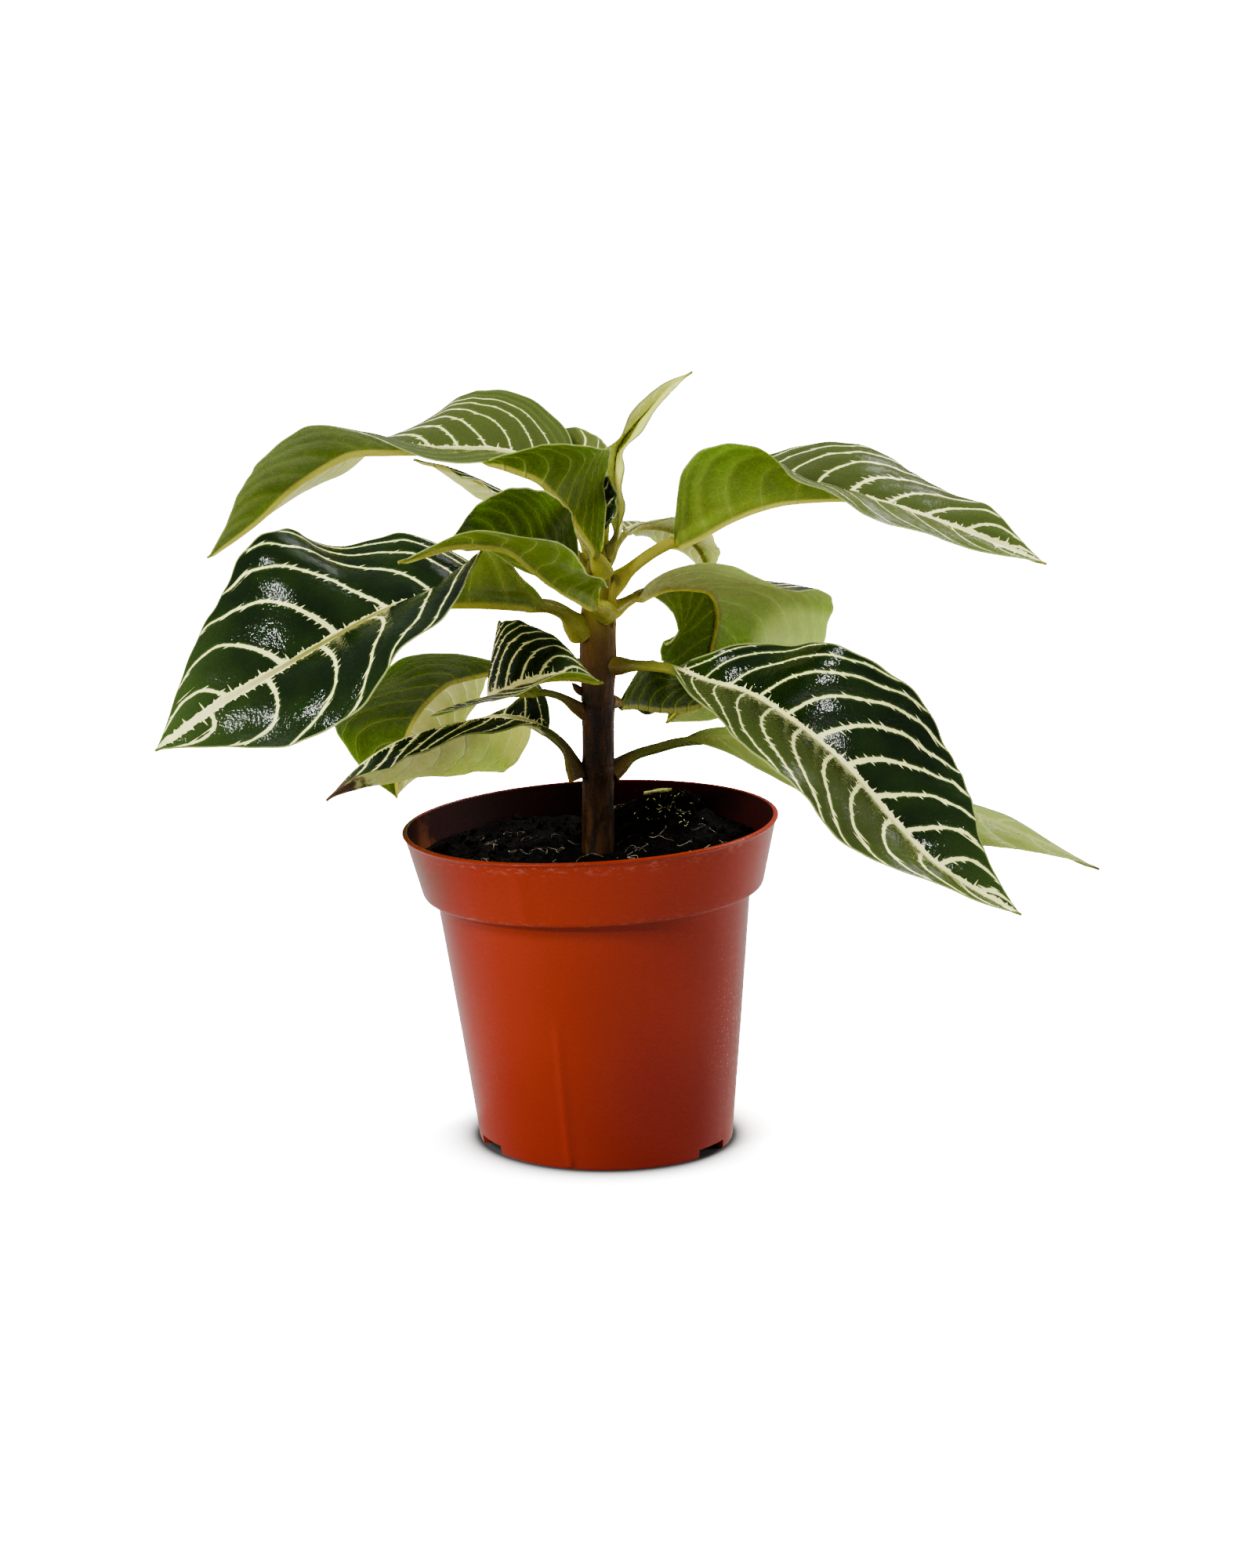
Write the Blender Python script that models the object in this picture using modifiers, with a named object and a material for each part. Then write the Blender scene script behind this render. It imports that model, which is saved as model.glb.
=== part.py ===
"""A young zebra plant in a plastic nursery pot, one closed solid for each piece.

Blender 4.5, metres, +Z up. The origin is on the ground under the stem and the
viewer's side is -Y. Lengths below are in millimetres and MM turns them into metres.
"""
import math
from dataclasses import dataclass

import bmesh
import bpy
import numpy as np
from mathutils import Vector, noise
from mathutils.bvhtree import BVHTree

MM = 0.001
GAP = 0.3

# Pot
POT_HEIGHT = 113.0
POT_AXIS_X = 2.8
BASE_RADIUS = 44.5
BODY_TOP_RADIUS = 54.6
BAND_BOTTOM_RADIUS = 59.0
RIM_RADIUS = 64.6
BAND_HEIGHT = 23.5
LIP_HEIGHT = 1.6
LIP_PROUD = 0.7
WALL = 1.3
FOOT_HEIGHT = 5.0
FLOOR_CORNER = 4.0
PAD_RADIUS = 26.0
PAD_SLOPE = 2.0
POT_SIDES = 72
RIM_LEAN_X = -5.6
RIM_TILT = 0.052
RIM_FLAT = 2.4
NOTCHES = 3
NOTCH_WIDTH = 15.0
NOTCH_HEIGHT = 6.6
NOTCH_FIRST_ANGLE = -34.0

# Soil
SOIL_TOP = 102.0
SOIL_RINGS = 9
SOIL_SIDES = 48
SOIL_CRUMB = 2.2
SOIL_MOUND = 10.0
SOIL_MOUND_PLACE = (24.0, 42.0)
SOIL_MOUND_SPREAD = 18.0
SOIL_SEED = 7
STEM_HOLE_DEPTH = 30.0

# Stem
STEM_FOOT = SOIL_TOP - STEM_HOLE_DEPTH + GAP
STEM_TOP = 210.0
STEM_TAPER = ((72.0, 5.9), (130.0, 5.6), (155.0, 5.6), (167.0, 6.4), (184.0, 6.4), (196.0, 4.8), (205.0, 3.4),
              (210.0, 2.0))
STEM_JOINTS = ((131.0, 0.4), (153.0, 0.4), (167.0, 0.3))
STEM_SIDES = 20
STEM_HOLE_RADIUS = 6.5
BUD_SIZE = (1.3, 1.3, 3.0)
BUD_PLACE = (-7.0, -1.0, 159.5)
BUD_TILT = -42.0
BRACT_SIZE = (1.7, 1.1, 9.5)
BRACT_PLACE = (5.0, -4.2, 190.5)
BRACT_TILT = 3.0

# Dry leaf scrap on the soil
SCRAP_LENGTH = 10.0
SCRAP_WIDTH = 3.2
SCRAP_PLACE = (21.0, 46.0)
SCRAP_TURN = 8.0
SCRAP_RISE = 1.2

# Leaves
BLADE_THICKNESS = 0.7
STATIONS_PER_LEAF = 22
COLUMNS = (-1.0, -0.55, 0.0, 0.55, 1.0)
OPENING = 3.0


def spline(values, at):
    """Smooth curve through a list of values or points, read at fractions from 0 to 1."""
    values = np.asarray(values, float)
    if values.ndim == 1:
        values = values[:, None]
        knots = np.linspace(0.0, 1.0, len(values))
    else:
        steps = np.linalg.norm(np.diff(values, axis=0), axis=1)
        knots = np.concatenate([[0.0], np.cumsum(steps)]) / steps.sum()
    slopes = np.gradient(values, knots, axis=0)
    at = np.clip(np.asarray(at, float), 0.0, 1.0)
    k = np.clip(np.searchsorted(knots, at, side="right") - 1, 0, len(knots) - 2)
    width = (knots[k + 1] - knots[k])[:, None]
    u = (at - knots[k])[:, None] / width
    start = (2 * u**3 - 3 * u**2 + 1) * values[k] + (u**3 - 2 * u**2 + u) * width * slopes[k]
    end = (3 * u**2 - 2 * u**3) * values[k + 1] + (u**3 - u**2) * width * slopes[k + 1]
    return start + end


def carried_frames(rib):
    """Tangent, right side and upper normal along a rib, carried along without twist."""
    tangent = np.gradient(rib, axis=0)
    tangent /= np.linalg.norm(tangent, axis=1)[:, None]
    flat = np.array([tangent[0][0], tangent[0][1], 0.0])
    side = np.cross(flat / np.linalg.norm(flat), [0.0, 0.0, 1.0])
    sides = []
    for direction in tangent:
        side = side - np.dot(side, direction) * direction
        side = side / np.linalg.norm(side)
        sides.append(side)
    sides = np.array(sides)
    return tangent, sides, np.cross(sides, tangent)


@dataclass
class Leaf:
    """One leaf with its stalk.

    route: rib points in mm, from the stem to the tip. stalk: bare length in mm.
    left, right: lift of each half above level in degrees, evenly spaced from base to tip.
    reach: widest reach of the left and the right half in mm. widest: where that is, as a
    share of the blade. sweep: how far the edge leans to the tip, as a share of the reach.
    arch: how far each half bows upward in degrees. wave, waves: height in mm and
    number of the waves along the edge. stalk_radius: in mm.
    """
    name: str
    route: list
    stalk: float
    reach: tuple
    left: list
    right: list
    widest: tuple = (0.5, 0.5)
    sweep: tuple = (0.0, 0.0)
    arch: float = 25.0
    wave: float = 1.0
    waves: float = 4.0
    phase: float = 0.0
    stalk_radius: float = 1.9
    tip_radius: float = 0.5


LEAVES = [
    Leaf("leaf_a", stalk=35, reach=(29, 28), widest=(0.5, 0.26), sweep=(0.0, 0.0),
         route=[(-2, 7, 199), (-5, 10, 210), (-11, 14, 223), (-18, 19, 233), (-33, 25, 238),
                (-50, 30, 238), (-73, 38, 237), (-87, 44, 235), (-98, 48, 229), (-109, 54, 221),
                (-120, 58, 210), (-140, 66, 194)],
         left=[10, 12, 20, 44, 46, 46, 48, 50], right=[10, 22, 14, -8, -31, -34, -18, -20]),
    Leaf("leaf_e", stalk=24, reach=(31, 31), widest=(0.43, 0.36), sweep=(0.0, -0.3), stalk_radius=2.2,
         route=[(6, 3, 196), (12, 5, 201), (19, 6, 206), (34, 8, 213), (46, 10, 219), (63, 12, 224),
                (75, 12, 225), (88, 10, 225), (101, 7, 222), (117, 3, 217), (132, -2, 212), (153, -7, 204)],
         left=[30, 60, 16, 21, 8, 13, 34, 20], right=[70, 90, 58, 27, 8, 1, -10, 0]),
    Leaf("leaf_h", stalk=19, reach=(34, 32), widest=(0.5, 0.5), sweep=(0.1, 0.1),
         route=[(7, -3, 168), (17, -8, 169), (27, -15, 169), (37, -24, 167), (50, -34, 165), (67, -49, 157),
                (84, -62, 144), (98, -72, 129), (112, -80, 116), (122, -84, 110), (139, -90, 102)],
         left=[40, 72, 48, 72, 58, 30, 34, 50, 50, 30], right=[-10, -14, -8, 0, 0, 0, 15, 0]),
    Leaf("leaf_k", sweep=(-0.25, 0.0), stalk=14, reach=(38, 44), widest=(0.55, 0.55), stalk_radius=2.6,
         route=[(-6, -3, 182), (-11, -8, 187), (-22, -19, 193), (-32, -29, 196), (-42, -38, 198),
                (-52, -46, 199), (-66, -54, 198), (-76, -59, 194), (-86, -63, 189), (-105, -70, 179),
                (-124, -76, 169), (-144, -82, 155)],
         left=[80, 80, 50, 5, -8, -34, -60, -30], right=[10, 39, 42, 28, 56, 40, 34, 20]),
    Leaf("leaf_m", stalk=8, reach=(21, 13), widest=(0.45, 0.7), stalk_radius=2.2,
         route=[(2, -8, 188), (-1, -15, 191), (-7, -26, 197), (-12, -38, 202), (-21, -55, 212),
                (-30, -71, 221), (-36, -79, 223), (-45, -87, 224), (-63, -98, 220)],
         left=[50, 16, 0, -5, 1, 11, 26, 30], right=[10, 15, 5, -3, -2, -6, -3, -20]),
    Leaf("leaf_g", wave=0.4, stalk=10, reach=(24, 44), widest=(0.58, 0.45),
         route=[(6, 6, 186), (12, 11, 189), (18, 18, 191), (25, 27, 191), (33, 38, 189), (38, 47, 186),
                (41, 55, 180), (42, 60, 173), (41, 63, 165), (39, 66, 154), (34, 67, 144), (24, 64, 134)],
         left=[-30, -75, -72, -64, -58, -46, -26, -10], right=[50, 24, 1, 5, 0, -34, -10, -10]),
    Leaf("leaf_b", stalk=4, reach=(24, 13), widest=(0.5, 0.6), sweep=(-0.2, 0.0),
         route=[(1, -6, 203), (-1, -9, 208), (-4, -13, 214), (-8, -17, 221), (-11, -21, 227),
                (-15, -25, 232), (-20, -29, 237), (-27, -32, 240), (-33, -34, 242),
                (-38, -35, 243)],
         left=[30, 76, 84, 78, 50, 30, 25, 30], right=[10, 20, 30, 40, 40, 30, 20, 10]),
    Leaf("leaf_c", stalk=4, reach=(24, 6), widest=(0.5, 0.5), sweep=(0.1, 0.0),
         route=[(-5, -4, 197), (-10, -11, 201), (-17, -19, 205), (-24, -27, 209),
                (-32, -32, 213), (-42, -36, 215), (-52, -40, 216)],
         left=[40, 60, 60, 60, 70, 80, 80, 30], right=[20, 20, 10, 10, 10, 0, 0, 0]),
    Leaf("leaf_d", stalk=4, reach=(8, 7), widest=(0.45, 0.4), stalk_radius=1.1,
         route=[(5, 3, 207), (7, 6, 214), (7, 7, 222), (6, 6, 232), (7, 4, 242), (11, 1, 249),
                (17, -3, 256), (24, -6, 264), (32, -9, 270)],
         left=[40, 20, 85, 95, 50, 30], right=[60, 25, 35, 36, 30, 10]),
    Leaf("leaf_f", stalk=14, reach=(16, 14), widest=(0.45, 0.45), stalk_radius=1.4,
         route=[(4, 4, 204), (8, 11, 210), (13, 20, 213), (20, 29, 212), (28, 39, 208),
                (35, 48, 201), (40, 58, 188)],
         left=[0, 0, -10, -14, -10, 0], right=[20, 15, 10, 0, 0, 0]),
    Leaf("leaf_i", stalk=20, reach=(20, 20), widest=(0.5, 0.5),
         route=[(7, 3, 131), (11, 5, 134), (22, 9, 137), (32, 12, 139), (45, 16, 139),
                (65, 23, 134), (93, 31, 125), (121, 37, 112), (150, 41, 99), (179, 43, 85)],
         left=[30, 10, 3, 2, 11, 10], right=[-10, -50, -55, -47, -28, 0]),
    Leaf("leaf_j", sweep=(0.0, -0.3), stalk=4, reach=(11, 17), widest=(0.35, 0.27), stalk_radius=1.4,
         route=[(6, 5, 154), (9, 11, 152), (13, 15, 151), (22, 22, 148), (32, 30, 147),
                (41, 37, 148), (48, 42, 148)],
         left=[0, -5, -10, -10, -5, 0], right=[60, 65, 62, 55, 40, 20]),
    Leaf("leaf_n", arch=16, wave=0.5, stalk=14, reach=(26, 22), widest=(0.52, 0.5), stalk_radius=1.4, waves=2.0,
         route=[(-7, -2, 153), (-12, -4, 157), (-20, -8, 160), (-29, -13, 161), (-36, -20, 161),
                (-37, -29, 162), (-32, -37, 165), (-25, -42, 169), (-15, -45, 172), (-7, -45, 172),
                (2, -43, 170)],
         left=[20, 60, 80, 88, 88, 84, 76, 40], right=[10, -21, -26, -21, -26, -30, -6, 0]),
    Leaf("leaf_o", sweep=(0.0, -0.4), stalk=16, reach=(14, 27), widest=(0.5, 0.42),
         route=[(-7, -1, 131), (-11, 0, 138), (-18, 2, 144), (-24, 4, 147), (-35, 8, 148),
                (-48, 13, 145), (-60, 18, 141), (-71, 22, 136), (-84, 25, 127), (-96, 26, 114)],
         left=[10, -30, -22, -20, -30, -35, -30, 0], right=[60, 40, -20, -55, -58, -62, -70, -40]),
    Leaf("leaf_p", stalk=22, reach=(34, 31), widest=(0.58, 0.5),
         route=[(-6, 4, 166), (-17, 9, 167), (-28, 14, 166), (-36, 20, 163), (-47, 28, 159),
                (-53, 34, 156), (-59, 40, 150), (-64, 46, 143), (-68, 51, 134), (-72, 55, 120),
                (-73, 57, 108)],
         left=[10, 40, 34, 18, 20, 34, 40, 10], right=[0, -20, -8, -2, -2, -13, -50, -10]),
    Leaf("leaf_q", stalk=8, reach=(10, 10), widest=(0.5, 0.5), stalk_radius=1.1,
         route=[(2, 4, 207), (3, 11, 216), (0, 21, 226), (-6, 32, 235), (-13, 42, 240),
                (-20, 50, 241)],
         left=[30, 30, 30, 20, 20, 10], right=[30, 30, 30, 20, 20, 10]),
    Leaf("leaf_r", stalk=8, reach=(10, 18), widest=(0.5, 0.35), stalk_radius=1.2,
         route=[(-5, 2, 203), (-13, 6, 212), (-24, 12, 221), (-38, 18, 228), (-52, 23, 233), (-64, 27, 235)],
         left=[20, 20, 10, 10, 10, 10], right=[-20, -40, -45, -43, -50, -10]),
    Leaf("leaf_s", stalk=3, reach=(4, 9), widest=(0.5, 0.5), stalk_radius=0.9,
         route=[(-1, -2, 208), (-1, -1, 214), (-1, -1, 220), (-1, -1, 227), (0, -1, 233),
                (1, -2, 239)],
         left=[70, 80, 80, 80, 70, 30], right=[0, 5, 10, 10, 10, 10]),
]


def seated_route(leaf):
    """The leaf's route with its first point moved to a small gap off the stem's skin."""
    route = [np.array(point, float) for point in leaf.route]
    first = route[0]
    outward = np.array([first[0], first[1], 0.0])
    outward /= np.linalg.norm(outward)
    heading = route[1] - first
    slope = abs(heading[2]) / np.linalg.norm(heading)
    low = first[2] - leaf.stalk_radius
    widest_stem = max(stem_radius(low + step * leaf.stalk_radius / 4) for step in range(9))
    reach = widest_stem + GAP + leaf.stalk_radius * slope
    route[0] = outward * reach + np.array([0.0, 0.0, first[2]])
    return np.array(route)


def leaf_mesh(leaf):
    """Closed loft of a leaf: a round stalk that opens into a thin waved blade."""
    route = seated_route(leaf)
    fine = spline(route, np.linspace(0.0, 1.0, 200))
    length = np.linalg.norm(np.diff(fine, axis=0), axis=1).sum()
    bare = leaf.stalk / length
    stalk_stations = np.linspace(0.0, bare, 4)[:-1]
    blade_stations = bare + (1.0 - bare) * np.linspace(0.0, 1.0, STATIONS_PER_LEAF) ** 0.95
    stations = np.concatenate([stalk_stations, blade_stations])
    rib = spline(route, stations)
    tangents, sides, ups = carried_frames(rib)

    along = np.clip((stations - bare) / (1.0 - bare), 0.0, 1.0)
    bells = [np.sin(math.pi * along ** (math.log(0.5) / math.log(place))) ** 1.1 for place in leaf.widest]
    lifts = [np.radians(spline(values, along)[:, 0]) for values in (leaf.left, leaf.right)]
    shrink = (1.0 - stations) ** 0.7
    radius = leaf.tip_radius + (leaf.stalk_radius - leaf.tip_radius) * shrink

    rows = []
    for i in range(len(stations)):
        side = sides[i]
        up = ups[i]
        spread = [leaf.reach[half] * bells[half][i] for half in (0, 1)]
        opened = [smooth_step(spread[half] / (OPENING * radius[i])) for half in (0, 1)]
        angles = [lifts[half][i] * opened[half] for half in (0, 1)]
        normals = [math.sin(angles[0]) * side + math.cos(angles[0]) * up,
                   -math.sin(angles[1]) * side + math.cos(angles[1]) * up]
        upper = []
        lower = []
        for column in COLUMNS:
            half = 0 if column < 0 else 1
            sign = -1.0 if half == 0 else 1.0
            bell = bells[half][i]
            reach = max(spread[half], radius[i] * 0.9)
            u = abs(column)
            bow = math.radians(leaf.arch) * min(1.0, bell * 2.0)
            across, rise = blade_point(u, reach, angles[half], bow)
            turns = leaf.waves * along[i] + 0.2 * half
            ripple = leaf.wave * bell * u * u * math.sin(2 * math.pi * turns + leaf.phase)
            normal = normals[half]
            if column == 0.0:
                normal = normals[0] + normals[1]
                normal = normal / np.linalg.norm(normal)
            centre = rib[i] + sign * across * side + rise * up + ripple * normal
            centre = centre + leaf.sweep[half] * reach * bell * u * tangents[i]
            off_rib = min(u * reach, radius[i])
            thick = max(BLADE_THICKNESS, 2.0 * math.sqrt(radius[i] ** 2 - off_rib ** 2))
            above = thick * 0.5 + (BLADE_THICKNESS - thick) * 0.5 * opened[half]
            upper.append(centre + normal * above)
            lower.append(centre - normal * (thick - above))
        rows.append(upper + lower[::-1])
    return loft(leaf.name, rows)


def smooth_step(share):
    """Eased share, held between 0 and 1."""
    share = max(0.0, min(1.0, share))
    return share * share * (3.0 - 2.0 * share)


def blade_point(u, reach, lift, bow):
    """Point at fraction u of a half blade that bows about its straight chord."""
    if bow < 1e-4:
        return (u * reach * math.cos(lift), u * reach * math.sin(lift))
    turn_radius = reach / (2.0 * math.sin(bow / 2.0))
    turned = bow * u
    first = lift + bow / 2.0
    across = turn_radius * (math.sin(first) - math.sin(first - turned))
    rise = turn_radius * (math.cos(first - turned) - math.cos(first))
    return (across, rise)


def loft(name, rows):
    """Closed mesh through rings of points, split alike on both faces, with capped ends."""
    bm = bmesh.new()
    rings = [[bm.verts.new(Vector(point) * MM) for point in row] for row in rows]
    size = len(rings[0])
    half = size // 2
    for lower_ring, upper_ring in zip(rings[:-1], rings[1:]):
        for j in range(size):
            k = (j + 1) % size
            a, b, c, d = lower_ring[j], lower_ring[k], upper_ring[k], upper_ring[j]
            if j < half:
                bm.faces.new((a, b, c))
                bm.faces.new((a, c, d))
            else:
                bm.faces.new((a, b, d))
                bm.faces.new((b, c, d))
    for ring, flip in ((rings[0], True), (rings[-1], False)):
        for j in range(half - 1):
            a, b, c, d = ring[j], ring[j + 1], ring[size - 2 - j], ring[size - 1 - j]
            faces = ((a, b, c), (a, c, d))
            for face in faces:
                bm.faces.new(face[::-1] if flip else face)
    bmesh.ops.recalc_face_normals(bm, faces=bm.faces)
    mesh = bpy.data.meshes.new(name)
    bm.to_mesh(mesh)
    bm.free()
    return mesh


def principled(name, colour, roughness, metallic=0.0):
    """Principled material with one colour."""
    material = bpy.data.materials.new(name)
    material.use_nodes = True
    shader = material.node_tree.nodes["Principled BSDF"]
    shader.inputs["Base Color"].default_value = (*colour, 1.0)
    shader.inputs["Roughness"].default_value = roughness
    shader.inputs["Metallic"].default_value = metallic
    return material


def place(name, mesh, material, collection):
    """New smooth-shaded object in a collection."""
    thing = bpy.data.objects.new(name, mesh)
    mesh.materials.append(material)
    collection.objects.link(thing)
    mesh.shade_smooth()
    mesh.set_sharp_from_angle(angle=math.radians(40))
    return thing


def make_cutter(thing, cutters):
    """Moves an object to the cutters' collection and hides it from renders."""
    thing.hide_render = True
    thing.display_type = "WIRE"
    for owner in list(thing.users_collection):
        owner.objects.unlink(thing)
    cutters.objects.link(thing)


def turned(name, profile, sides, material, collection):
    """Turned mesh from a profile in mm, outer side running from top to bottom."""
    mesh = bpy.data.meshes.new(name)
    points = [(x * MM, 0.0, z * MM) for x, z in profile]
    mesh.from_pydata(points, [(i, i + 1) for i in range(len(points) - 1)], [])
    thing = bpy.data.objects.new(name, mesh)
    collection.objects.link(thing)
    screw = thing.modifiers.new("turn", "SCREW")
    screw.steps = sides
    screw.render_steps = sides
    screw.use_merge_vertices = True
    screw.merge_threshold = 0.00001
    applied = bpy.data.meshes.new_from_object(thing.evaluated_get(bpy.context.evaluated_depsgraph_get()))
    bpy.data.objects.remove(thing)
    applied.name = name
    return place(name, applied, material, collection)


def pot_radius(z, inside=False):
    """Outer or inner radius of the plain turned pot at a height, in mm."""
    ledge = POT_HEIGHT - BAND_HEIGHT
    if z < ledge:
        outer = BASE_RADIUS + (BODY_TOP_RADIUS - BASE_RADIUS) * z / ledge
    else:
        outer = BAND_BOTTOM_RADIUS + (RIM_RADIUS - BAND_BOTTOM_RADIUS) * (z - ledge) / BAND_HEIGHT
    return outer - WALL if inside else outer


def settle(point):
    """Moves a point of the plain pot to where the soft, leaning pot has it, in metres."""
    x, y, z = (value / MM for value in point)
    share = max(0.0, min(1.0, z / POT_HEIGHT))
    flat = RIM_FLAT * share**3 * max(0.0, -y / RIM_RADIUS) ** 4 * math.cos(math.atan2(x, -y) * 1.5)
    return Vector((x + POT_AXIS_X + RIM_LEAN_X * share, y + flat, z + RIM_TILT * x * share)) * MM


def build_pot(material, collection, cutters):
    """Thin moulded pot: body, stepped band, lip, notched foot, and a floor that is raised round a low pad."""
    ledge = POT_HEIGHT - BAND_HEIGHT
    floor_top = FOOT_HEIGHT + WALL
    inner_base = pot_radius(floor_top, inside=True)
    profile = [(0.0, WALL), (PAD_RADIUS - WALL, WALL), (PAD_RADIUS - WALL + PAD_SLOPE, floor_top),
               (inner_base - FLOOR_CORNER, floor_top)]
    for step in (1, 2):
        angle = math.radians(30 * step)
        profile.append((inner_base - FLOOR_CORNER + FLOOR_CORNER * math.sin(angle),
                        floor_top + FLOOR_CORNER * (1 - math.cos(angle))))
    profile += [
        (pot_radius(floor_top + FLOOR_CORNER, inside=True), floor_top + FLOOR_CORNER),
        (pot_radius(ledge * 0.5, inside=True), ledge * 0.5),
        (pot_radius(ledge - 0.1, inside=True), ledge + 0.6),
        (pot_radius(ledge + 0.1, inside=True), ledge + 2.2),
        (pot_radius(POT_HEIGHT, inside=True), POT_HEIGHT - 0.4),
        (RIM_RADIUS - WALL * 0.5, POT_HEIGHT),
        (RIM_RADIUS + LIP_PROUD * 0.7, POT_HEIGHT - 0.3),
        (RIM_RADIUS + LIP_PROUD, POT_HEIGHT - LIP_HEIGHT * 0.5),
        (RIM_RADIUS - 0.2, POT_HEIGHT - LIP_HEIGHT),
        (BAND_BOTTOM_RADIUS + 0.3, ledge + 1.0),
        (BAND_BOTTOM_RADIUS - 0.3, ledge),
        (BODY_TOP_RADIUS, ledge - 0.5),
        (pot_radius(ledge * 0.5), ledge * 0.5),
        (BASE_RADIUS, 0.8),
        (BASE_RADIUS - 0.4, 0.0),
        (BASE_RADIUS - 2.4, 0.0),
        (BASE_RADIUS - 3.2, FOOT_HEIGHT),
        (PAD_RADIUS + PAD_SLOPE, FOOT_HEIGHT),
        (PAD_RADIUS, 0.0),
        (0.0, 0.0),
    ]
    pot = turned("pot", profile, POT_SIDES, material, collection)
    for vertex in pot.data.vertices:
        vertex.co = settle(vertex.co)
    for index in range(NOTCHES):
        angle = math.radians(NOTCH_FIRST_ANGLE + 360.0 / NOTCHES * index)
        bpy.ops.mesh.primitive_cube_add(size=1.0)
        cutter = bpy.context.object
        cutter.name = f"notch_cutter_{index}"
        cutter.scale = (12.0 * MM, NOTCH_WIDTH * MM, NOTCH_HEIGHT * MM)
        reach = BASE_RADIUS + 2.0
        cutter.location = ((POT_AXIS_X + reach * math.cos(angle)) * MM, reach * math.sin(angle) * MM, 0.0)
        cutter.rotation_euler = (0.0, 0.0, angle)
        make_cutter(cutter, cutters)
        cut = pot.modifiers.new(f"notch_{index}", "BOOLEAN")
        cut.operation = "DIFFERENCE"
        cut.object = cutter
    return pot


def soil_relief(x, y):
    """How far the soil's rough top stands above its level at a place, in mm."""
    spot = Vector((x / 9.0, y / 9.0, SOIL_SEED))
    rough = noise.noise(spot) * SOIL_CRUMB + noise.noise(spot * 2.7) * SOIL_CRUMB * 0.6
    away = math.hypot(x - SOIL_MOUND_PLACE[0], y - SOIL_MOUND_PLACE[1]) / SOIL_MOUND_SPREAD
    mound = SOIL_MOUND * math.exp(-away * away)
    return rough + mound


def build_soil(material, collection):
    """Peat fill: it follows the pot's wall, with a rough top and a plain round hole for the stem."""
    ledge = POT_HEIGHT - BAND_HEIGHT
    bottom = FOOT_HEIGHT + WALL + GAP
    angles = [2 * math.pi * k / SOIL_SIDES for k in range(SOIL_SIDES)]

    def wall_ring(radius, z):
        return [settle(Vector((radius * math.cos(a), radius * math.sin(a), z)) * MM) for a in angles]

    def edge_level(x):
        middle = settle(Vector((0.0, 0.0, SOIL_TOP)) * MM).x
        return SOIL_TOP * MM + RIM_TILT * SOIL_TOP / POT_HEIGHT * (x - middle)

    hole = [Vector((math.cos(a), math.sin(a), 0.0)) * STEM_HOLE_RADIUS * MM for a in angles]
    edge = wall_ring(pot_radius(SOIL_TOP, inside=True) - 2 * GAP, SOIL_TOP)
    rings = [[Vector((point.x, point.y, (SOIL_TOP - STEM_HOLE_DEPTH) * MM)) for point in hole]]
    for index in range(SOIL_RINGS):
        share = index / (SOIL_RINGS - 1)
        calm = 0.35 if index in (0, SOIL_RINGS - 1) else 1.0
        ring = []
        for near, far in zip(hole, edge):
            spot = near.lerp(far, share)
            spot.z = edge_level(spot.x) + soil_relief(spot.x / MM, spot.y / MM) * calm * MM
            ring.append(spot)
        rings.append(ring)
    band_inside = pot_radius(ledge + 0.1, inside=True) - 2 * GAP
    body_inside = pot_radius(ledge - 1.0, inside=True) - 2 * GAP
    rings.append(wall_ring(band_inside, ledge + 3.4))
    rings.append(wall_ring(band_inside, ledge + 2.8))
    rings.append(wall_ring(body_inside, ledge + 2.8))
    rings.append(wall_ring(body_inside, ledge - 1.0))
    corner = bottom + FLOOR_CORNER
    rings.append(wall_ring(pot_radius(corner, inside=True) - 2 * GAP, corner))
    rings.append(wall_ring(pot_radius(corner, inside=True) - FLOOR_CORNER, bottom))
    pad = PAD_RADIUS - WALL - 2 * GAP
    rings.append(wall_ring(pad + PAD_SLOPE, bottom))
    rings.append(wall_ring(pad, WALL + GAP))

    bm = bmesh.new()
    loops = [[bm.verts.new(point) for point in ring] for ring in rings]
    for inner, outer in zip(loops[:-1], loops[1:]):
        for k in range(SOIL_SIDES):
            n = (k + 1) % SOIL_SIDES
            bm.faces.new((inner[k], outer[k], outer[n]))
            bm.faces.new((inner[k], outer[n], inner[n]))
    bm.faces.new(loops[0])
    bm.faces.new(loops[-1][::-1])
    bmesh.ops.triangulate(bm, faces=[face for face in bm.faces if len(face.verts) > 4])
    bmesh.ops.recalc_face_normals(bm, faces=bm.faces)
    mesh = bpy.data.meshes.new("soil")
    bm.to_mesh(mesh)
    bm.free()
    return place("soil", mesh, material, collection)


def stem_radius(z):
    """Radius of the stem at a height in mm: a taper with a swelling at each joint."""
    heights, radii = zip(*STEM_TAPER)
    radius = float(np.interp(z, heights, radii))
    for joint, swell in STEM_JOINTS:
        radius += swell * math.exp(-((z - joint) / 3.5) ** 2)
    return radius


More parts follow.
